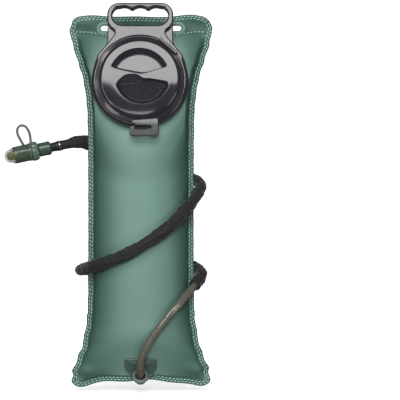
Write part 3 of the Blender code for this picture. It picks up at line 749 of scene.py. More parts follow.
def film_mesh(name, front, settings):
    """One film as a fine sheet, with a layer that marks the welds."""
    inner, seam, head, body, foot = 72, 5, 16, settings.film_rows, 6
    side = -1.0 if front else 1.0
    points, weld, painted_side_shade, rows = [], [], [], head + body + foot + 1
    for row in range(rows):
        for column in range(-seam, inner + seam + 1):
            turn = max(-1.0, min(1.0, 2.0 * column / inner - 1.0))
            across = math.sin(turn * math.pi / 2.0)
            beyond = max(0, -column, column - inner) / seam
            top, header, foot_weld, bottom = weld_heights(across)
            top, bottom = top - CORNER * beyond ** 2.2, bottom + CORNER * beyond ** 2.2
            drop = min(max((row - head) / body, 0.0), 1.0)
            if 0 < drop < 1:
                drop = 0.5 - 0.5 * math.cos(math.pi * (0.85 * drop + 0.15 * ease(drop)))
            if row <= head:
                height = mix(top, header, row / head)
            elif row < head + body:
                height = mix(header, foot_weld, drop)
            else:
                height = mix(foot_weld, bottom, (row - head - body) / foot)
            flat = beyond > 0 or row <= head or row >= head + body
            depth = 0.0
            if not flat:
                span = half_width(height) - SEAM
                gaps = ((1.0 - abs(across)) * span, header - height, height - foot_weld)
                depth = bulge(across * span, height, abs(across), drop, front, gaps,
                              settings.fold_depth)
            x, height = flat_spot(across, beyond, height)
            wave = ripple(x, height) * math.exp(-depth / 0.004)
            points.append((x, side * (SKIN + max(depth, 0.0)) + wave, height))
            line = peak(height - header, 0.0016)
            line = max(line, 0.97 if row < head else 0.0)
            weld.append(1.0 if beyond > 0 or row >= head + body else line)
            # painted shade: how far the film is darkened towards its sides, where it turns away
            # from the light; kept in the "turned" layer
            near = ease(min(1.0, depth / 0.012 + 0.35)) if not flat else 0.0
            painted_side_shade.append(ease((abs(across) - 0.10) / 0.90) * near)
    across_count = inner + 2 * seam + 1
    faces = [(row * across_count + spot, row * across_count + spot + 1,
              (row + 1) * across_count + spot + 1, (row + 1) * across_count + spot)
             for row in range(rows - 1) for spot in range(across_count - 1)]
    mesh = bpy.data.meshes.new(name)
    mesh.from_pydata(points, [], faces)
    layered(mesh, "weld", weld)
    layered(mesh, "turned", painted_side_shade)
    mesh.shade_smooth()
    return mesh


def thickened(mesh, thickness):
    """Give a sheet its thickness."""
    item = linked("work", mesh)
    step = item.modifiers.new("wall", "SOLIDIFY")
    step.thickness = thickness
    step.offset = 0.0
    made = baked(item)
    made.name = mesh.name
    return made


def outline_path(inset):
    """The bag's outline, set in by a distance, as evenly spaced flat points."""
    loop = []
    for edge, turns in ((0, (-1.0, 1.0)), (3, (1.0, -1.0))):
        sign = 1.0 if edge == 0 else -1.0
        start, end = weld_heights(1.0)[3 - edge], weld_heights(1.0)[edge]
        start, end = start + sign * CORNER, end - sign * CORNER
        loop += [flat_spot(turns[0], 1.0, mix(start, end, step / 160)) for step in range(160)]
        for step in range(-10, 71):
            share = turns[1] * (2.0 * min(max(step, 0), 60) / 60 - 1.0)
            beyond = max(0, -step, step - 60) / 10
            across = math.sin(share * math.pi / 2.0)
            height = weld_heights(across)[edge] - sign * CORNER * beyond ** 2.2
            loop.append(flat_spot(across, beyond, height))
    loop = evenly([Vector((x, height, 0.0)) for x, height in loop + loop[:1]], 0.002)[:-1]
    result = []
    for index, point in enumerate(loop):
        ahead = (loop[(index + 3) % len(loop)] - loop[index - 3]).normalized()
        result.append(point + Vector((ahead.y, -ahead.x, 0.0)) * inset)
    return result + result[:1]


def dash_mesh(name, lines, side, settings):
    """Short raised marks along flat lines, on the outside of one film."""
    around, stages = 8, (-1.0, -0.86, -0.55, 0.0, 0.55, 0.86, 1.0)
    points, faces = [], []
    for number, line in enumerate(lines):
        spots = evenly(line, settings.dash_pitch / 2.0)
        for index in range(1 + number % 2, len(spots) - 1, 2):
            spot = spots[index]
            ahead = (spots[index + 1] - spots[index - 1]).normalized()
            ahead = Vector((ahead.x, ahead.y + 0.22 * ahead.x, 0.0)).normalized()
            beside = Vector((-ahead.y, ahead.x, 0.0))
            base = len(points)
            for stage in stages:
                swell = math.sqrt(max(0.0, 1.0 - stage * stage)) + 0.05
                for step in range(around):
                    angle = math.tau * step / around
                    flat = (spot + ahead * stage * settings.dash_long / 2.0
                            + beside * math.cos(angle) * swell * settings.dash_wide / 2.0)
                    lift = FACE + 0.0004 * math.sin(angle) * swell
                    points.append((flat.x, side * lift + ripple(flat.x, flat.y), flat.y))
            faces += [tuple(base + corner for corner in face)
                      for face in tube_faces(len(stages), around)]
    return mesh_of(name, points, faces, 180.0)


def header_line(lift):
    """The weld that closes the bag below its header, raised by a distance."""
    line = []
    for step in range(81):
        across = mix(-1.0, 1.0, step / 80)
        x, height = flat_spot(across, 0.0, weld_heights(across)[1] + lift)
        line.append(Vector((x, height, 0.0)))
    return line


def round_loop(path, wide, tall, around=10):
    """Rings of points round a closed flat path: each one's flat place, and its lift."""
    for index, spot in enumerate(path):
        ahead = (path[(index + 1) % len(path)] - path[index - 1]).normalized()
        beside = Vector((-ahead.y, ahead.x, 0.0))
        for step in range(around):
            angle = math.tau * step / around
            yield spot + beside * math.cos(angle) * wide, tall * math.sin(angle)


def slot_rim(centre_x, side):
    """The pressed oval round one hanging slot."""
    oval = [Vector((x, y, 0.0)) for x, y in stadium(centre_x, SLOT_HALF + 0.0030, SLOT_R + 0.0027)]
    oval = evenly(oval + oval[:1], BEAD_STEP)[:-1]
    points = [(flat.x, side * (FACE + lift) + ripple(flat.x, flat.y), flat.y)
              for flat, lift in round_loop(oval, *SLOT_RIM)]
    return mesh_of("slot_rim", points, ring_faces(len(oval), 10, True), 60.0)


def colour_of(label, description, default):
    """A setting that is a colour."""
    return FloatVectorProperty(name=label, description=description, default=default,
                               subtype="COLOR")


def length_of(label, description, default):
    """A setting that is a length."""
    return FloatProperty(name=label, description=description, default=default, unit="LENGTH")


class BladderFilmSettings(bpy.types.PropertyGroup):
    """What a user may change on the two films and their welds."""

    fold_depth: FloatProperty(name="Fold depth", description="Depth of the folds at the welds",
                              default=0.0012, min=0.0, max=0.004, unit="LENGTH")
    film_rows: IntProperty(name="Rows", description="Rows of faces down each film", default=150)
    dash_pitch: length_of("Mark pitch", "Distance between weld marks", 0.0042)
    dash_long: length_of("Mark length", "Length of one weld mark", 0.0031)
    dash_wide: length_of("Mark width", "Width of one weld mark", 0.0010)
    film_colour: colour_of("Film", "Colour of the film", (0.136, 0.242, 0.203))
    # painted shade: the dark colour painted onto the film towards its sides
    painted_side_shade_colour: colour_of("Edge", "Colour of the film where it turns away at the sides",
                           (0.016, 0.062, 0.044))
    weld_colour: colour_of("Weld", "Colour of the pressed film", (0.028, 0.076, 0.060))
    dash_colour: colour_of("Mark", "Colour of the weld marks", (0.42, 0.62, 0.54))


class BLADDER_OT_films(bpy.types.Operator):
    """Build the two films, their weld marks and the pressed ovals of the hanging slots"""

    bl_idname = "bladder.films"
    bl_label = "Films"

    def execute(self, context):
        settings = context.scene.bladder_film
        finish = film_finish(settings)
        marks = dash_finish(settings)
        rows = [outline_path(inset) for inset in DASH_INSETS]
        for front in (True, False):
            node = "front_film" if front else "back_film"
            side = -1.0 if front else 1.0
            mesh = thickened(film_mesh(node + "_sheet", front, settings), FILM)
            for sign in (-1, 1):
                slot = plate("slot", [stadium(sign * SLOT_X, SLOT_HALF, SLOT_R)], -0.01, 0.01,
                             0.0001, Matrix.Rotation(math.pi / 2, 4, "X"))
                mesh = worked(mesh, slot, "DIFFERENCE")
            if front:
                for place, radius in ((PORT, NECK_R + GAP), (OUTLET, 0.0036)):
                    mesh = worked(mesh, plug(radius, 0.02, -0.012, place), "DIFFERENCE")
            piece(node + "_sheet", mesh, finish, "root", [node])
            lines = rows + [header_line(HEADER_DASH_RISE)]
            label = "front" if front else "back"
            dashes = dash_mesh(label + "_weld_marks", lines, side, settings)
            piece(label + "_weld_marks", dashes, marks, "root")
            for sign in (-1, 1):
                where = "left" if sign < 0 else "right"
                rim = slot_rim(sign * SLOT_X, side)
                piece(f"{label}_{where}_slot_rim", rim, finish, "root")
        return {"FINISHED"}


# ---------------------------------------------------------------- fill port, handle and cap
def scalloped_opening():
    """The finger opening: round ends and three finger hollows along its top."""
    middle = (FINGER_LOW + FINGER_HIGH) / 2.0
    radius = (FINGER_HIGH - FINGER_LOW) / 2.0
    straight = FINGER_HALF - radius
    points = list(arc((straight, middle), radius, -90, 60, 12))
    for step in range(49):
        x = (straight + 0.001) * (1.0 - step / 24.0)
        hollow = math.sqrt(math.cos(1.5 * math.pi * x / (straight + 0.006)) ** 2 + 0.02)
        points.append((x, FINGER_HIGH - 0.0045 + 0.0042 * min(hollow, 1.0) ** 0.8))
    points.extend(arc((-straight, middle), radius, 120, 270, 12))
    return points


def mirrored(half):
    """An outline from its right half."""
    return half + [(-x, y) for x, y in reversed(half)]


def handle_mesh():
    """Collar and carrying handle, one moulding with a stepped front plate."""
    low = FILM / 2 + GAP
    collar = [(COLLAR_R - 0.0034, COLLAR_TOP), (COLLAR_R - 0.0010, 0.0096),
              (COLLAR_R, low + 0.0014), (COLLAR_R - 0.0006, low), (COLLAR_BORE - 0.0030, low),
              (COLLAR_BORE - 0.0030, 0.0030), (COLLAR_BORE, 0.0030), (COLLAR_BORE, COLLAR_TOP)]
    frame_mesh = turned("handle", rounded(collar, 0.0011, True), PORT, True, 128)
    corner = HANDLE_CORNER
    top_right = list(arc((HANDLE_HALF - corner, HANDLE_TOP - corner), corner, 0, 90, 16))
    tucked = [(x - 0.0003, y - 0.0003) for x, y in top_right]
    back = [(0.0512, 0.0150), (0.0482, 0.0262), (HANDLE_HALF - 0.0003, 0.0430), *tucked]
    front = [(0.0470, 0.0170), (0.0480, 0.0265), (0.0300, 0.0490), (0.0277, 0.0530),
             (0.0290, 0.0565), (0.0330, 0.0590), (HANDLE_HALF, 0.0650), *top_right]
    hole = scalloped_opening()
    middle = (FINGER_LOW + FINGER_HIGH) / 2.0
    wider = [(x * 1.010, mix(middle, y, 1.03)) for x, y in hole]
    for half, hole, bottom, high, edge in (
            (back, wider, BACK_LOW, BACK_HIGH, 0.0012),
            (front, hole, BACK_HIGH - 0.0030, FRONT_HIGH, 0.0018)):
        outline = rounded(mirrored(half), 0.0045, True)
        layer = plate("layer", [outline, hole], bottom, high, edge, PORT)
        frame_mesh = worked(frame_mesh, layer, "UNION")
    bore = plug(COLLAR_BORE - 0.0001, 0.05, 0.0031, PORT, 128)
    seat = plug(RING_R + 0.0016, 0.05, COLLAR_TOP + 0.0001, PORT, 128)
    return worked(worked(frame_mesh, bore, "DIFFERENCE"), seat, "DIFFERENCE")


def drawn(points, steps=5):
    """Points of a smooth curve through flat ones, equally many between each two."""
    knots = [Vector(point) for point in points]
    knots = [2 * knots[0] - knots[1], *knots, 2 * knots[-1] - knots[-2]]
    curve = [cubic(*knots[index - 1:index + 3], step / steps)
             for index in range(1, len(knots) - 2) for step in range(steps)]
    return [tuple(spot) for spot in curve + [knots[-2]]]


def grip_outline(upper, inset=0.0, steps=48):
    """One of the two finger hollows; between them runs the twisted finger bar."""
    if upper:
        low, high = (28, 152) if inset else (24, 158)
        points = list(arc((-0.0006, 0.0), GRIP_R - inset, low, high, steps))
        edge = UPPER_FLOOR if inset else UPPER_EDGE
    else:
        points = list(arc((0.0030, 0.0005), GRIP_R - 0.0030 - inset, 196, 342, steps))
        edge = LOWER_FLOOR if inset else LOWER_EDGE
    return rounded(points + drawn(edge), 0.0016, True)


def grip_floor(upper):
    """Height of a hollow's floor on the port axis, and its slope."""
    tilt = GRIP_TILTS[upper]
    return CAP_FACE - GRIP_DEPTHS[upper] + GRIP_R * math.sin(tilt), tilt if upper else -tilt


def hollow_mesh(upper):
    """A finger hollow to cut from the cap: sloping walls down to a tilted floor."""
    shallow, tilt = grip_floor(upper)
    points = []
    for inset, lift in ((0.0, CAP_FACE), (0.0, None), (GRIP_DRAFT, GRIP_FILLET),
                        (GRIP_DRAFT + GRIP_FILLET, 0.0)):
        outline = grip_outline(upper, inset)
        for x, y in outline:
            height = CAP_FACE - GRIP_FILLET if lift is None else shallow - y * math.tan(tilt) + lift
            points.append(PORT @ Vector((x, y, height)))
    return mesh_of("hollow", points, tube_faces(4, len(outline)))


def bead(name, outline, radius, height, place):
    """A thin round bead that follows an outline on a flat face."""
    path = evenly([Vector((x, y, height)) for x, y in outline + outline[:1]], BEAD_STEP)[:-1]
    points = [place @ (flat + Vector((0.0, 0.0, lift)))
              for flat, lift in round_loop(path, radius, radius)]
    return mesh_of(name, points, ring_faces(len(path), 10, True), 60.0)


def cap_mesh():
    """The screw cap: dished hollows either side of a twisted finger bar."""
    skirt = NECK_R + 0.0005
    groove = RING_BORE - 0.0004
    outside = [(0.0345, CAP_FACE), (0.0420, CAP_FACE - 0.0011),
               (0.0438, CAP_FACE - 0.0020), (CAP_R, CAP_FACE - 0.0036), (CAP_R, RING_HIGH + GAP),
               (groove, RING_HIGH + GAP), (groove, RING_LOW - GAP), (CAP_R, RING_LOW - GAP),
               (CAP_R, CAP_SKIRT), (skirt, CAP_SKIRT), (skirt, CAP_FLOOR)]
    profile = [(0.0, CAP_FACE), *rounded(outside, 0.0008), (0.0, CAP_FLOOR)]
    cap = turned("cap", profile, PORT, steps=160)
    for upper in (True, False):
        cap = worked(cap, hollow_mesh(upper), "DIFFERENCE")
    return cap


def tab_outline():
    """The tab of the tether ring, below the cap."""
    middle, half, foot, corner = 0.0050, 0.0160, -0.0645, 0.0040
    return [(middle + half - 0.0010, -0.0440), (middle + half, -0.0520),
            *arc((middle + half - corner, foot + corner), corner, 0, -90, 8),
            *arc((middle - half + corner, foot + corner), corner, -90, -180, 8),
            (middle - half, -0.0560), (middle - half + 0.0035, -0.0460)]


def ring_mesh():
    """The ring that keeps the cap, with its slotted tab."""
    band = rounded([(RING_R, RING_HIGH - 0.0012), (RING_R, RING_LOW), (RING_BORE, RING_LOW),
                    (RING_BORE, RING_HIGH)], 0.0006, True)
    ring = turned("ring", band, PORT, True, 128)
    tab = plate("tab", [tab_outline()], RING_LOW + 0.0002, RING_HIGH - 0.0002, 0.0009, PORT)
    ring = worked(ring, tab, "UNION")
    slot = [(x, -0.0544 + (y + 0.0544) * 1.4) for x, y in stadium(0.0036, 0.0098, 0.0020, -0.0544)]
    hook_gap = [(-0.0080, -0.0530), (-0.0150, -0.0545), (-0.0140, -0.0481), (-0.0060, -0.0497),
                (-0.0030, -0.0525)]
    for shape in (slot, hook_gap):
        cutter = plate("cutter", [shape], RING_LOW - 0.002, RING_HIGH + 0.002, 0.0001, PORT)
        ring = worked(ring, cutter, "DIFFERENCE")
    return worked(ring, plug(RING_BORE, 0.05, 0.0, PORT, 128), "DIFFERENCE")


def strap_mesh(start, end):
    """The short flat strap from the collar to the ring, a little narrower in its middle."""
    along = (end - start).normalized()
    side = Vector((-along.y, along.x)) * 0.0019
    low, high = RING_HIGH + GAP, RING_HIGH + 0.0026
    sections, steps, corners = [], 24, 12
    for index in range(steps + 1):
        share = index / steps
        centre = start.lerp(end, share)
        wide = 1.0 - 0.18 * math.sin(math.pi * share)
        for corner in range(corners):
            angle = math.tau * corner / corners
            across = math.copysign(abs(math.cos(angle)) ** 0.5, math.cos(angle))
            up = math.copysign(abs(math.sin(angle)) ** 0.5, math.sin(angle))
            local = centre + side * across * wide
            height = mix(low, high, 0.5 + 0.5 * up)
            sections.append(PORT @ Vector((local.x, local.y, height)))
    return mesh_of("strap", sections, tube_faces(steps + 1, corners), 50.0)


class BladderPortSettings(bpy.types.PropertyGroup):
    """What a user may change on the fill port, the handle and the cap."""

    dark: colour_of("Plastic", "Colour of the dark mouldings", (0.022, 0.020, 0.026))
    gloss: FloatProperty(name="Gloss", description="Roughness of the dark mouldings",
                         default=0.09, min=0.0, max=1.0, subtype="FACTOR")
    gasket: colour_of("Gasket", "Colour of the gasket", (0.20, 0.21, 0.21))
    thread_pitch: length_of("Thread pitch", "Rise of the thread per turn", 0.0030)


class BLADDER_OT_neck(bpy.types.Operator):
    """Build the threaded neck with its weld flange"""

    bl_idname = "bladder.neck"
    bl_label = "Threaded neck"

    def execute(self, context):
        settings = context.scene.bladder_port
        top = -FILM / 2 - GAP
        low = top - 0.0016
        wall = [(NECK_R - 0.0008, mix(NECK_TOP - 0.0006, 0.0010, step / 60)) for step in range(61)]
        profile = [(MOUTH_R + 0.0003, NECK_TOP), (NECK_R - 0.0012, NECK_TOP), *wall, (NECK_R, top),
                   (WELD_R - 0.0003, top), (WELD_R, top - 0.0004), (WELD_R - 0.0003, low),
                   (MOUTH_R, low)]
        neck = turned("neck", profile, Matrix.Identity(4), True, 128)
        for vertex in neck.vertices:
            x, y, height = vertex.co
            if abs(math.hypot(x, y) - NECK_R + 0.0008) < 0.00005 and 0.0018 < height < 0.0094:
                turn = (height / settings.thread_pitch - math.atan2(y, x) / math.tau) % 1.0
                ridge = max(0.0, math.cos(math.tau * (turn - 0.5))) ** 0.6
                vertex.co.xy *= 1.0 + 0.0008 * ridge / NECK_R
        neck.transform(PORT)
        finish = moulded_finish("neck_plastic", tint(tuple(settings.dark), 1.1), 0.30)
        piece("threaded_neck", neck, finish, "root", ["fill_neck"])
        return {"FINISHED"}


class BLADDER_OT_handle(bpy.types.Operator):
    """Build the collar and carrying handle"""

    bl_idname = "bladder.handle"
    bl_label = "Collar and handle"

    def execute(self, context):
        settings = context.scene.bladder_port
        finish = moulded_finish("handle_plastic", tuple(settings.dark), settings.gloss + 0.04)
        piece("collar_and_handle", handle_mesh(), finish, "root", ["handle_frame"],
              flat=True)
        return {"FINISHED"}


class BLADDER_OT_cap(bpy.types.Operator):
    """Build the screw cap and its gasket"""

    bl_idname = "bladder.cap"
    bl_label = "Screw cap"

    def execute(self, context):
        settings = context.scene.bladder_port
        finish = moulded_finish("cap_plastic", tuple(settings.dark), settings.gloss)
        piece("fill_cap", cap_mesh(), finish, "cap", ["screw_cap"], flat=True)
        beads = [bead("rim", grip_outline(upper), RIM_BEAD, CAP_FACE - 0.0001, PORT)
                 for upper in (True, False)]
        for upper in (True, False):
            shallow, tilt = grip_floor(upper)
            place = (PORT @ Matrix.Translation((0.0, 0.0, shallow))
                     @ Matrix.Rotation(-tilt, 4, "X"))
            beads.append(bead("foot", grip_outline(upper, GRIP_DRAFT), FOOT_BEAD, 0.0005,
                              place))
        piece("cap_grip_rims", joined("rims", beads, 60.0), finish, "cap")
        low, high = NECK_TOP + GAP, CAP_FLOOR - GAP
        ring = rounded([(NECK_R - 0.0002, high), (NECK_R - 0.0002, low), (MOUTH_R + 0.0001, low),
                        (MOUTH_R + 0.0001, high)], 0.0003, True)
        grey = rubber_finish("gasket_rubber", tuple(settings.gasket))
        piece("cap_seal", turned("seal", ring, PORT, True), grey, "cap",
              ["cap_gasket"])
        return {"FINISHED"}


class BLADDER_OT_tether(bpy.types.Operator):
    """Build the ring that keeps the cap, and the strap that ties it to the collar"""

    bl_idname = "bladder.tether"
    bl_label = "Cap tether"

    def execute(self, context):
        settings = context.scene.bladder_port
        finish = moulded_finish("tether_plastic", tuple(settings.dark), settings.gloss + 0.06)
        piece("cap_ring", ring_mesh(), finish, "cap_tether", ["tether_ring"],
              flat=True)
        strap = piece("ring_strap", strap_mesh(STRAP_START, STRAP_END), finish, None,
                      ["tether_strap"])
        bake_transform(strap)
        return {"FINISHED"}


# ---------------------------------------------------------------- drinking outlet
class BladderHoseSettings(bpy.types.PropertyGroup):
    """What a user may change on the outlet, the tube, its sleeve and the valve."""

    flange: colour_of("Flange", "Colour of the outlet flange", (0.056, 0.090, 0.082))
    elbow: colour_of("Elbow", "Colour of the outlet elbow", (0.160, 0.190, 0.170))
    black: colour_of("Seals", "Colour of the seals and the stem", (0.012, 0.012, 0.013))
    smoke: colour_of("Tube", "Colour of the drinking tube", (0.205, 0.198, 0.150))
    sleeve_colour: colour_of("Sleeve", "Colour of the knit sleeve", (0.016, 0.016, 0.018))
    crease_pitch: length_of("Crease pitch", "Distance between creases", 0.011)
    crease_depth: length_of("Crease depth", "Depth of the sleeve's creases", 0.00080)
    valve: colour_of("Valve", "Colour of the valve's mouldings", (0.070, 0.105, 0.078))
    housing: colour_of("Housing", "Colour of the valve's housing", (0.038, 0.074, 0.044))
    cover: colour_of("Cover", "Colour of the dust cover", (0.100, 0.132, 0.095))
    mouthpiece: colour_of("Mouthpiece", "Colour of the mouthpiece", (0.300, 0.290, 0.050))
    lanyard: colour_of("Lanyard", "Colour of the lanyard loop", (0.110, 0.115, 0.108))


def washer(outer, inner, low, high, place, steps=48):
    """A rubber ring with a rounded section."""
    return turned("washer", rounded([(outer, high), (outer, low), (inner, low), (inner, high)],
                                    (high - low) * 0.45, True), place, True, steps, crease=80.0)


class BLADDER_OT_outlet(bpy.types.Operator):
    """Build the outlet flange, its elbow and both seals"""

    bl_idname = "bladder.outlet"
    bl_label = "Drinking outlet"

    def execute(self, context):
        settings = context.scene.bladder_hose
        low = FILM / 2 + GAP
        half = [*arc((0.0062, -0.0078), 0.0062, -90, -30, 8), (0.0160, -0.0050), (0.0183, 0.0010),
                (0.0185, 0.0060), *arc((0.0145, 0.0095), 0.0040, 0, 90, 8)]
        outline = rounded(mirrored(half), 0.0020, True)
        flange = plate("flange", [outline], low, low + 0.0016, 0.0005, OUTLET)
        socket = rounded([(0.0082, low + 0.0038), (0.0082, low + 0.0010), (0.0040, low + 0.0010),
                          (0.0040, low + 0.0038)], 0.0004, True)
        flange = worked(flange, turned("socket", socket, OUTLET, True, 64), "UNION")
        flange = worked(flange, plug(0.0040, 0.01, -0.01, OUTLET, 64), "DIFFERENCE")
        green = moulded_finish("flange_green", tuple(settings.flange), 0.34)
        piece("welded_flange", flange, green, "root", ["outlet_flange"], flat=True)
        ribs = [bead("rib", [(x * scale, y * scale + 0.0004) for x, y in outline], RIB_BEAD,
                     low + 0.0016, OUTLET) for scale in RIB_SCALES]
        # painted highlight: the ribs are the flange's own plastic, painted lighter where the raised
        # ridges catch the light
        pale = moulded_finish("rib_green_painted_highlight", tint(tuple(settings.flange), 1.35), 0.26)
        piece("flange_ribs", joined("ribs", ribs, 60.0), pale, "root")

        black = rubber_finish("seal_black", tuple(settings.black), 0.35)
        seat = low + 0.0038 + GAP
        piece("outlet_seal", washer(0.0062, 0.0042, seat, seat + 0.0016, OUTLET), black, "root",
              ["outlet_o_ring"])
        rim = 0.0008
        piece("elbow_seal", washer(0.0056, 0.0030, rim + GAP, rim + 0.0028, SPIGOT), black, "root",
              ["elbow_seal_ring"])

        profile = [(0.0, ELBOW_REACH), (0.0050, ELBOW_REACH), (0.0062, ELBOW_REACH - 0.0015),
                   (0.0062, seat + 0.0019), (0.0, seat + 0.0019)]
        elbow = turned("elbow", rounded(profile, 0.0004), OUTLET, steps=64)
        cup = [(0.0, rim), (ELBOW_R - 0.0006, rim), (ELBOW_R, rim - 0.0006)]
        cup += [(ELBOW_R * math.cos(math.radians(angle)),
                 -0.0008 + ELBOW_R * math.sin(math.radians(angle))) for angle in range(0, -91, -9)]
        elbow = worked(elbow, turned("cup", cup, SPIGOT, steps=64), "UNION")
        elbow = worked(elbow, plug(0.0058, 0.02, rim, SPIGOT, 64), "DIFFERENCE")
        dark = moulded_finish("elbow_green", tuple(settings.elbow), 0.25)
        piece("elbow", elbow, dark, "root", ["outlet_elbow"])
        arms = []
        for turn in (-1.0, 1.0):
            path = []
            for step in range(11):
                rise = -0.0030 + 0.0012 * step
                across = turn * (0.0072 - 0.0012 * ease((rise - 0.004) / 0.006))
                path.append(SPIGOT @ Vector((across, -0.0012, rise)))
            arms.append(hose_mesh("arm", path, lambda share, angle: 0.0014 - 0.0005 * share ** 3,
                                  around=14))
        piece("elbow_clips", joined("clips", arms, 60.0), dark, "root")
        return {"FINISHED"}


# ---------------------------------------------------------------- tube and sleeve
class BLADDER_OT_tube(bpy.types.Operator):
    """Build the drinking tube, its knit sleeve and the crimped band"""

    bl_idname = "bladder.tube"
    bl_label = "Tube and sleeve"

    def execute(self, context):
        settings = context.scene.bladder_hose
        line = smooth_route(ROUTE, TUBE_STEP)
        tube = hose_mesh("tube", line, TUBE_R, TUBE_BORE, 28)
        piece("drinking_hose", tube, tube_finish(settings), "root",
              ["drinking_tube"])

        fine = smooth_route(ROUTE, SLEEVE_STEP)
        covered = fine[round(SLEEVE_FROM / SLEEVE_STEP):-round(SLEEVE_TO / SLEEVE_STEP)]
        long = SLEEVE_STEP * len(covered)
        pitch, depth = settings.crease_pitch, settings.crease_depth

        def swell(share, angle):
            """Radius of the sleeve: creased, cuffed where it starts, drawn in at the band."""
            run = share * long
            across, up = math.cos(angle), math.sin(angle)
            drift = noise.noise((run * 40.0, across, up))
            crease = math.sin(math.tau * run / pitch + 1.6 * across + 4.0 * drift)
            fine_crease = math.sin(math.tau * run / (pitch * 0.42) + 3.0 * up + 5.0 * drift)
            soft = ease(run / 0.01) * ease((long - run) / 0.012)
            slack = noise.noise((run * 13.0, 3.0, 0.0)) + 0.5 * noise.noise((run * 34.0, 8.0, 0.0))
            radius = 0.0063 + 0.0010 * slack + 0.0012 * peak(long - run - 0.040, 0.016)
            fold = noise.noise((run * 60.0 + 0.8 * across, 1.4 * across, 1.4 * up))
            ridge = noise.noise((run * 105.0 + 1.6 * across, 2.2 * across, 2.2 * up))
            fold += 0.55 - 1.6 * abs(ridge)
            radius += soft * depth * (0.20 * crease + 0.15 * fine_crease + 1.5 * fold
                                     * (1.0 + peak(long - run, 0.05)))
            radius += 0.0007 * peak(run - 0.0015, 0.0018) + 0.0005 * peak(run - 0.0085, 0.0016)
            return mix(radius, 0.0053, ease((run - long + 0.022) / 0.018))

        around = 40
        sleeve = hose_mesh("sleeve", covered, swell, SLEEVE_BORE - 0.0004, around)
        spots = range(len(sleeve.vertices))
        layered(sleeve, "rib", [float(spot % around % 2) for spot in spots])
        layered(sleeve, "course", [float(spot // around % 2) for spot in spots])
        piece("knit_sleeve", sleeve, sleeve_finish(settings), "root",
              ["insulating_sleeve"])
        band = washer(0.0060, 0.0050, -0.0060, -0.0044, VALVE, 64)
        piece("crimped_band", band, metal_finish(), "root", ["sleeve_band"])
        return {"FINISHED"}


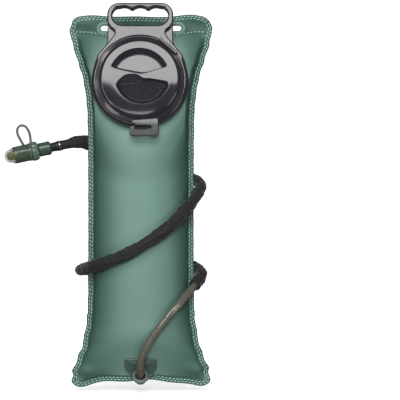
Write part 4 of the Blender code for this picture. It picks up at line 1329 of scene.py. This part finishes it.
# ---------------------------------------------------------------- bite valve
class BLADDER_OT_valve(bpy.types.Operator):
    """Build the bite valve: stem, housing, twist collar, mouthpiece, dust cover and lanyard"""

    bl_idname = "bladder.valve"
    bl_label = "Bite valve"

    def execute(self, context):
        settings = context.scene.bladder_hose
        black = rubber_finish("stem_black", tuple(settings.black), 0.40)
        stem = rounded([(0.0052, 0.0047), (0.0052, 0.0034), (0.0046, 0.0030), (0.0052, 0.0020),
                        (0.0052, 0.0006)], 0.0003)
        stem = [(0.0, 0.0047), *stem, (0.0, 0.0006)]
        collars = [washer(radius, 0.0046, low, low + 0.0018, VALVE)
                   for radius, low in STEM_COLLARS]
        stem = joined("stem", [turned("stem", stem, VALVE, steps=48), *collars], 60.0)
        piece("hose_stem", stem, black, "root", ["valve_stem"])
        green = tuple(settings.valve)
        body = rounded([(0.0058, HOUSING_HIGH), (0.0058, HOUSING_HIGH - 0.0030),
                        (HOUSING_R - 0.0003, HOUSING_HIGH - 0.0030),
                        (HOUSING_R - 0.0003, HOUSING_LOW + 0.0040),
                        (HOUSING_R, HOUSING_LOW + 0.0036), (HOUSING_R, HOUSING_LOW + 0.0016),
                        (HOUSING_R - 0.0012, HOUSING_LOW)], 0.0004)
        body = [(0.0, HOUSING_HIGH), *body, (0.0, HOUSING_LOW)]
        housing = moulded_finish("housing_green", tuple(settings.housing), 0.26, clear=0.10)
        piece("housing", turned("housing", body, VALVE, steps=72), housing, "root",
              ["valve_housing"])
        seal = washer(0.0066, 0.0061, HOUSING_HIGH - 0.0024, HOUSING_HIGH - 0.0010, VALVE)
        piece("housing_seal", seal, black, "root", ["valve_o_ring"])

        seat = HOUSING_HIGH + GAP
        outside = [(0.0070, seat + 0.0040), (0.0070, TWIST_HIGH), (0.0080, TWIST_HIGH),
                   (0.0080, TWIST_HIGH - 0.0030), (TWIST_R - 0.0008, TWIST_HIGH - 0.0030),
                   (TWIST_R, TWIST_HIGH - 0.0042), (TWIST_R, seat + 0.0008),
                   (TWIST_R - 0.0010, seat - 0.0020), (0.0069, seat - 0.0020), (0.0069, seat)]
        twist = turned("twist", [(0.0, seat + 0.0040), *rounded(outside, 0.0005), (0.0, seat)],
                       VALVE, steps=144)
        middle = mix(seat + 0.0008, TWIST_HIGH - 0.0042, 0.5)
        inverse = VALVE.inverted()
        for vertex in twist.vertices:
            local = inverse @ vertex.co
            reach = math.hypot(local.x, local.y)
            if reach > TWIST_R - 0.0004 and abs(local.z - middle) < 0.0034:
                flute = 0.5 - 0.5 * math.cos(18.0 * math.atan2(local.y, local.x))
                local.xy *= 1.0 - 0.0005 * flute / reach
                vertex.co = VALVE @ local
        collar = moulded_finish("collar_green", tint(green, 1.35), 0.24, clear=0.15)
        piece("shutoff_collar", twist, collar, "valve_head", ["twist_collar"])

        root = seat + 0.0040 + GAP
        lip = rounded([(0.0030, root + BITE_LONG), (0.0046, root + BITE_LONG - 0.0016),
                       (0.0050, root + BITE_LONG - 0.0050), (0.0044, root + BITE_LONG - 0.0100),
                       (BITE_R, root + 0.0060), (0.0064, root)], 0.0010, steps=6)
        slit = (0.0004, root + BITE_LONG - 0.0012)
        bite = turned("bite", [(0.0, root + BITE_LONG - 0.0014), slit, *lip, (0.0, root)], VALVE,
                      steps=64, crease=70.0)
        olive = rubber_finish("mouthpiece_olive", tuple(settings.mouthpiece), 0.30)
        piece("bite_mouthpiece", bite, olive, "valve_head", ["mouthpiece"])

        mouth = TWIST_HIGH - 0.0030 + GAP
        tip = mouth + COVER_LONG
        bore = COVER_R - COVER_WALL
        shell = rounded([(0.0040, tip), (0.0062, tip - 0.0016), (0.0088, tip - 0.0080),
                         (COVER_R, tip - 0.0120), (COVER_R, mouth), (bore, mouth),
                         (bore, tip - 0.0124), (0.0076, tip - 0.0088), (0.0054, tip - 0.0030)],
                        0.0010, steps=5)
        shell = turned("shell", [(0.0, tip), *shell, (0.0, tip - 0.0014)], VALVE, steps=96)
        layered(shell, "nose", [ease(((inverse @ vertex.co).z - tip + 0.0115) / 0.0020)
                                for vertex in shell.vertices])
        piece("valve_cover", shell, cover_finish(settings), "cover",
              ["dust_cover"])
        rib = washer(COVER_R + 0.0005, COVER_R - 0.0002, mouth + 0.0002, mouth + 0.0022, VALVE, 72)
        piece("cover_rim", rib, collar, "cover")
        facing = inverse.to_3x3() @ Vector((0.0, -1.0, 0.0))
        front, path = math.atan2(facing.y, facing.x), []
        for step in range(25):
            turn = math.radians(-115.0 + 230.0 * step / 24)
            angle = front + TONGUE_TURN * math.sin(turn)
            path.append(VALVE @ Vector((COVER_R * math.cos(angle), COVER_R * math.sin(angle),
                                        mouth + TONGUE_LONG * (1.0 + math.cos(turn)))))
        tongue = hose_mesh("tongue", path, 0.0005, around=10)
        piece("cover_tongue", tongue, collar, "cover")

        path = []
        for x, z, _ in smooth_route([(x, z, 0.0) for x, z in LOOP], 0.0008):
            run = (ROUTE[-1][0] - x) / -VALVE_AXIS.x
            path.append(Vector((x, ROUTE[-1][1] + VALVE_AXIS.y * run, z)))
        loop = hose_mesh("loop", path, 0.00145, around=16)
        grey = rubber_finish("lanyard_rubber", tuple(settings.lanyard), 0.35)
        lanyard = piece("lanyard", loop, grey, None, ["lanyard_loop"])
        tuple(path[0] + VALVE_AXIS * 0.0080)
        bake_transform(lanyard)
        return {"FINISHED"}


class BLADDER_OT_cord(bpy.types.Operator):
    bl_idname = "bladder.cord"
    bl_label = "Declare the tube"

    def execute(self, context):
        path = [tuple(point) for point in smooth_route(ROUTE, TUBE_STEP)]
        return {"FINISHED"}


# ---------------------------------------------------------------- stage
# Each light: name, place, width and height, share of the key power, lights matt
# surfaces, shows in glossy ones.
LIGHTS = (("key", (-0.02, -2.30, 0.25), (0.50, 0.70), 1.10, True, False),
          ("high", (-0.10, -1.66, 1.13), (1.70, 0.80), 0.80, True, True),
          ("front", (-0.35, -2.05, 0.17), (1.10, 0.30), 0.10, False, True),
          ("bounce", (0.10, -1.30, -1.20), (1.20, 0.60), 0.28, True, False),
          ("strip", (-1.15, -1.55, 0.15), (0.30, 1.20), 0.14, False, True),
          ("edge", (1.35, -1.05, -0.40), (0.20, 0.80), 0.10, False, True),
          ("rear", (-0.50, 2.30, 0.60), (1.20, 1.20), 1.20, True, False),
          ("top", (0.0, 0.10, 1.40), (1.20, 0.80), 0.22, True, False))
LIGHT_AIM = (0.0, 0.0, -0.19)
FLOOR = -0.406


class BladderStageSettings(bpy.types.PropertyGroup):
    """What a user may change on the camera, the backdrop and the lights."""

    frame_width: length_of("Frame width", "Width seen at the bladder", 0.448)
    away: length_of("Distance", "Camera distance", 2.5)
    aim: FloatVectorProperty(name="Aim", description="Point that the camera looks at",
                             default=(0.0661, 0.0, -0.1921), subtype="XYZ", unit="LENGTH")
    pale: colour_of("Backdrop", "Colour of the floor and backdrop", (0.92, 0.92, 0.92))
    glow: FloatProperty(name="Glow", description="Light that the backdrop gives off itself",
                        default=1.0, min=0.0)
    key: FloatProperty(name="Key light", description="Power of the large front light",
                       default=32.0, unit="POWER")
    sky: FloatProperty(name="Ambient", description="Light from the surroundings", default=0.06)


class BLADDER_OT_camera(bpy.types.Operator):
    """Set up the camera"""

    bl_idname = "bladder.camera"
    bl_label = "Camera"

    def execute(self, context):
        settings = context.scene.bladder_stage
        lens = bpy.data.cameras.new("camera")
        lens.sensor_width = 36.0
        lens.lens = lens.sensor_width * settings.away / settings.frame_width
        camera = linked("camera", lens)
        camera.location = Vector(settings.aim) - Vector((0.0, settings.away, 0.0))
        camera.rotation_euler = (math.pi / 2, 0.0, 0.0)
        lens.clip_start, lens.clip_end = 0.05, 50.0
        context.scene.camera = camera
        return {"FINISHED"}


class BLADDER_OT_stage(bpy.types.Operator):
    """Build the pale backdrop and the soft studio lights"""

    bl_idname = "bladder.stage"
    bl_label = "Stage"

    def execute(self, context):
        settings = context.scene.bladder_stage
        turn, bend = 3.20, 0.60
        sweep = [(-0.70, FLOOR), (turn, FLOOR),
                 *list(arc((turn, FLOOR + bend), bend, -90, 0, 15))[1:], (turn + bend, 0.50)]
        points = [(side, y, z) for y, z in sweep for side in (-0.60, 0.75)]
        faces = [(2 * row, 2 * row + 1, 2 * row + 3, 2 * row + 2) for row in range(len(sweep) - 1)]
        mesh = bpy.data.meshes.new("backdrop")
        mesh.from_pydata(points, [], faces)
        mesh.shade_smooth()
        backdrop = linked("backdrop", mesh)
        mesh.materials.append(paper_finish(settings))
        backdrop.visible_diffuse = backdrop.visible_glossy = backdrop.visible_shadow = False

        for name, place, size, share, matt, glossy in LIGHTS:
            light = bpy.data.lights.new(name, "AREA")
            light.shape, light.size, light.size_y = "RECTANGLE", *size
            light.energy = share * settings.key
            lamp = linked(name, light)
            lamp.location = place
            lamp.visible_diffuse, lamp.visible_glossy = matt, glossy
            aim = Vector(LIGHT_AIM) - Vector(place)
            lamp.rotation_euler = aim.to_track_quat("-Z", "Y").to_euler()
        world = bpy.data.worlds.new("studio")
        world.use_nodes = True
        tree = world.node_tree
        dim = tree.nodes["Background"]
        bright = tree.nodes.new("ShaderNodeBackground")
        for shade, strength in ((dim, settings.sky), (bright, 1.0)):
            shade.inputs["Color"].default_value = (1.0, 1.0, 1.0, 1.0)
            shade.inputs["Strength"].default_value = strength
        rays = tree.nodes.new("ShaderNodeLightPath")
        choice = tree.nodes.new("ShaderNodeMixShader")
        tree.links.new(rays.outputs["Is Camera Ray"], choice.inputs[0])
        tree.links.new(dim.outputs[0], choice.inputs[1])
        tree.links.new(bright.outputs[0], choice.inputs[2])
        tree.links.new(choice.outputs[0], tree.nodes["World Output"].inputs["Surface"])
        context.scene.world = world
        context.scene.view_settings.view_transform = "Standard"
        return {"FINISHED"}


# ---------------------------------------------------------------- panel
class BLADDER_PT_panel(bpy.types.Panel):
    """Lists the sizes and colours, and a button for each group of pieces"""

    bl_idname = "BLADDER_PT_panel"
    bl_label = "Hydration bladder"
    bl_space_type = "VIEW_3D"
    bl_region_type = "UI"
    bl_category = "Bladder"

    def draw(self, context):
        layout = self.layout
        for name in SETTINGS:
            group = getattr(context.scene, name)
            box = layout.box()
            for field in group.__class__.__annotations__:
                box.prop(group, field)
        for operator in OPERATORS:
            layout.operator(operator.bl_idname)


SETTINGS = {"bladder_film": BladderFilmSettings, "bladder_port": BladderPortSettings,
            "bladder_hose": BladderHoseSettings, "bladder_stage": BladderStageSettings}
OPERATORS = (BLADDER_OT_camera, BLADDER_OT_tube, BLADDER_OT_valve, BLADDER_OT_cord,
             BLADDER_OT_films, BLADDER_OT_neck, BLADDER_OT_handle, BLADDER_OT_cap,
             BLADDER_OT_tether, BLADDER_OT_outlet, BLADDER_OT_stage)


def register():
    """Register the settings, the operators and the panel."""
    for name, group in SETTINGS.items():
        bpy.utils.register_class(group)
        setattr(bpy.types.Scene, name, PointerProperty(type=group))
    for operator in OPERATORS:
        bpy.utils.register_class(operator)
    bpy.utils.register_class(BLADDER_PT_panel)


def unregister():
    """Take them out again."""
    bpy.utils.unregister_class(BLADDER_PT_panel)
    for operator in reversed(OPERATORS):
        bpy.utils.unregister_class(operator)
    for name, group in reversed(SETTINGS.items()):
        delattr(bpy.types.Scene, name)
        bpy.utils.unregister_class(group)


def main():
    """Build everything in order."""
    register()
    for operator in OPERATORS:
        group, name = operator.bl_idname.split(".")
        getattr(getattr(bpy.ops, group), name)()


if __name__ == "__main__":
    main()
